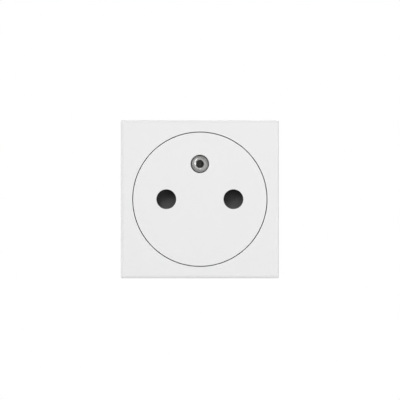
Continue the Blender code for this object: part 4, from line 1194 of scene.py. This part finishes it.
corner_blocks = bmesh.new()
for sx, sz in CORNERS:
    depths = (BODY_FRONT - PAST, WELL_FLOOR - 2 * MM)
    heights = (sz * CAVITY_START, sz * BODY_INNER)
    block(corner_blocks, (sx * CAVITY_START, sx * CAVITY_SIDE), depths, heights)
well_wall = bmesh.new()
rods(well_wall, MIDDLE, BODY_FRONT - 2 * PAST, WELL_FLOOR, CAVITY_RADIUS, segments=96)
corner_blocks = carve(corner_blocks, (CUT, well_wall))
print("hollow corners:", len(corner_blocks.faces), "faces")

# %% [markdown]
# Behind the floor, ribs part the terminals, tubes hold the feet of the return springs, and pillars
# take the screws.

# %% Ribs, tubes and pillars
RIB_END = BODY_BACK - 0.3 * MM
RIB_FOOT = FLOOR_BACK - SINK
WALL_FOOT = BODY_INNER + SINK
CHAMBER_X = (6.0 * MM, 13.0 * MM)
CHAMBER_TOP = 4.0 * MM
SHELF = 12.6 * MM
TROUGH_HALF = 6.6 * MM
TROUGH_FRONT = PIN_HIGH.y + 0.5 * MM
TUBE_END = 35.0 * MM
TUBE_RADIUS = SPRING_BORE + 0.8 * MM
PILLAR_RADIUS = 2.5 * MM

ribs = bmesh.new()


def rib(across, heights, front=RIB_FOOT):
    """A rib from the floor to just short of the cover."""
    block(ribs, across, (front, RIB_END), heights)


for side in (-1, 1):
    inner, outer, wall = side * CHAMBER_X[0], side * CHAMBER_X[1], side * RIB
    rib((inner - wall, inner), (-WALL_FOOT, CHAMBER_TOP + RIB))
    rib((inner - wall, outer + wall), (CHAMBER_TOP, CHAMBER_TOP + RIB))
    rib((outer, outer + wall), (-SHELF, CHAMBER_TOP + RIB))
    rib((outer, side * WALL_FOOT), (-SHELF, -SHELF + RIB))
    rib((side * TROUGH_HALF, side * (TROUGH_HALF + RIB)), (SHELF - RIB, WALL_FOOT), TROUGH_FRONT)
rib((-TROUGH_HALF - RIB, TROUGH_HALF + RIB), (SHELF - RIB, SHELF), TROUGH_FRONT)
rods(ribs, springs_at, RIB_FOOT, TUBE_END, TUBE_RADIUS, segments=48)
rods(ribs, screws_at, RIB_FOOT, RIB_END, PILLAR_RADIUS, segments=48)
print("ribs, tubes and pillars:", len(ribs.faces), "faces")

# %% Bores in the floor, the tubes and the pillars
FLOOR_HOLE = 3.0 * MM
FLOOR_LEAD = 0.7 * MM
FLOOR_MOUTH = FLOOR_HOLE + FLOOR_LEAD + PAST
SPRING_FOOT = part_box(SPRINGS[0])[1].y + 0.3 * MM
SCREW_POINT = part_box(SCREWS[0])[0].y

bores = bmesh.new()
start = WELL_FLOOR - PAST
rods(bores, PINS_AT, start, FLOOR_BACK + PAST, FLOOR_HOLE)
rods(bores, PINS_AT, start, WELL_FLOOR + FLOOR_LEAD, FLOOR_MOUTH, FLOOR_HOLE)
rods(bores, [EARTH_AT], start, FLOOR_BACK + PAST, EARTH_HOLE)
rods(bores, springs_at, start, SPRING_FOOT, SPRING_BORE)
rods(bores, screws_at, SCREW_POINT - PAST, BODY_BACK + PAST, SCREW_HOLE, segments=48)
print("bores:", len(bores.faces), "faces")

# %% [markdown]
# On the left and right the housing is recessed for the snap loops, and a wedge in each loop's window
# holds it. The wedge's front edge is pushed down, so that the loop can ride up on it.

# %% Recesses and wedges
RECESS = 19.4 * MM
PLAY = 0.3 * MM
WEDGE_TOP = BODY_HALF - 0.1 * MM
WEDGE_FRONT = LOOP_WINDOW_FRONT + PLAY

recesses, wedges = bmesh.new(), bmesh.new()
for sx, sz in CORNERS:
    depths = (BODY_FRONT - PAST, LOOP_END + 0.5 * MM)
    heights = around(sz * LOOP_Z, LOOP_HALF_WIDTH + PLAY)
    block(recesses, (sx * RECESS, sx * (BODY_HALF + PAST)), depths, heights)
    depths = (WEDGE_FRONT, LOOP_WINDOW_BACK - PLAY)
    heights = around(sz * LOOP_Z, LOOP_WINDOW_HALF - PLAY)
    wedge = block(wedges, (sx * (RECESS - SINK), sx * WEDGE_TOP), depths, heights)
    front = [v for v in wedge if abs(v.co.x) > WEDGE_TOP - NEAR and v.co.y < WEDGE_FRONT + NEAR]
    bmesh.ops.translate(wedges, verts=front, vec=(sx * (RECESS + PLAY - WEDGE_TOP), 0, 0))
print("wedge height in mm:", round((WEDGE_TOP - RECESS) / MM, 2))

# %% [markdown]
# On the top and bottom, slots free four tongues that spring inwards as the module goes into its
# support frame, and their noses catch behind it. A nose is a block cut across at its crest, and sinking
# its rear end makes the long slope.

# %% Tongues and noses
TONGUE_X = 14.5 * MM
TONGUE_HALF = 2.1 * MM
SLOT = 0.7 * MM
TONGUE_FRONT = 10.3 * MM
TONGUE_ROOT = 21.0 * MM
NOSE_HALF = TONGUE_HALF - 0.4 * MM
NOSE_FRONT, NOSE_CREST, NOSE_END = 11.3 * MM, 12.1 * MM, 15.5 * MM
NOSE_ROOT = BODY_HALF - 0.05 * MM

slots, noses = bmesh.new(), bmesh.new()
for sx, sz in CORNERS:
    x, start = sx * TONGUE_X, TONGUE_FRONT - SLOT
    heights = (sz * (BODY_INNER - SINK), sz * (BODY_HALF + PAST))
    block(slots, around(x, TONGUE_HALF + SLOT), (start, TONGUE_FRONT), heights)
    for near in (x - TONGUE_HALF - SLOT, x + TONGUE_HALF):
        block(slots, (near, near + SLOT), (start, TONGUE_ROOT), heights)
    heights = (sz * (BODY_HALF - SINK), sz * BODY_HIGH.z)
    block(noses, around(x, NOSE_HALF), (NOSE_FRONT, NOSE_END), heights)
everything = [*noses.verts, *noses.edges, *noses.faces]
bmesh.ops.bisect_plane(noses, geom=everything, plane_co=(0, NOSE_CREST, 0), plane_no=(0, 1, 0))
for vert in noses.verts:
    if abs(vert.co.z) > BODY_HALF and vert.co.y > NOSE_CREST + NEAR:
        vert.co.z = math.copysign(NOSE_ROOT, vert.co.z)
round_edges(noses, 0.12 * MM, 3, lambda co: abs(co.z) > BODY_HALF - 0.1 * MM)
print("noses stand out in mm:", round((BODY_HIGH.z - BODY_HALF) / MM, 2))

# %% [markdown]
# The noses are already rounded, so they are joined after the outside edges are too: a rounding that
# meets another would fold over it.

# %% Housing: all steps together
steps = [(CUT, well), (CUT, corner_blocks), (CUT, chamber), (JOIN, ribs), (CUT, bores)]
steps += [(CUT, recesses), (JOIN, wedges), (CUT, slots)]
housing = carve(housing, *steps)


def outside(co):
    """Whether a point lies on the outer walls, behind the front."""
    return max(abs(co.x), abs(co.z)) > BODY_HALF - 0.01 * MM and co.y > BODY_FRONT + NEAR


print("rounded edges outside:", round_edges(housing, 0.12 * MM, 2, outside))
housing = carve(housing, (JOIN, noses))
print("edges not closed:", sum(len(edge.link_faces) != 2 for edge in housing.edges))
place_piece("housing_moulding", housing, grey_plastic, "housing")

# %% [markdown]
# ## Release buttons
#
# Pressing a button with a screwdriver frees the wires beside it. The CAD solids only get soft edges.

# %% Release buttons
for button in BUTTONS:
    soft_piece(f"{button}_cap", button, 0.12 * MM, button_plastic, 3)

# %% [markdown]
# ## The pieces
#
# Every piece that renders is listed by name.

# %% The pieces shown, and the end of the script
shown = [obj.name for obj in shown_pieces()]
print(len(shown), "pieces:", ", ".join(sorted(shown)))
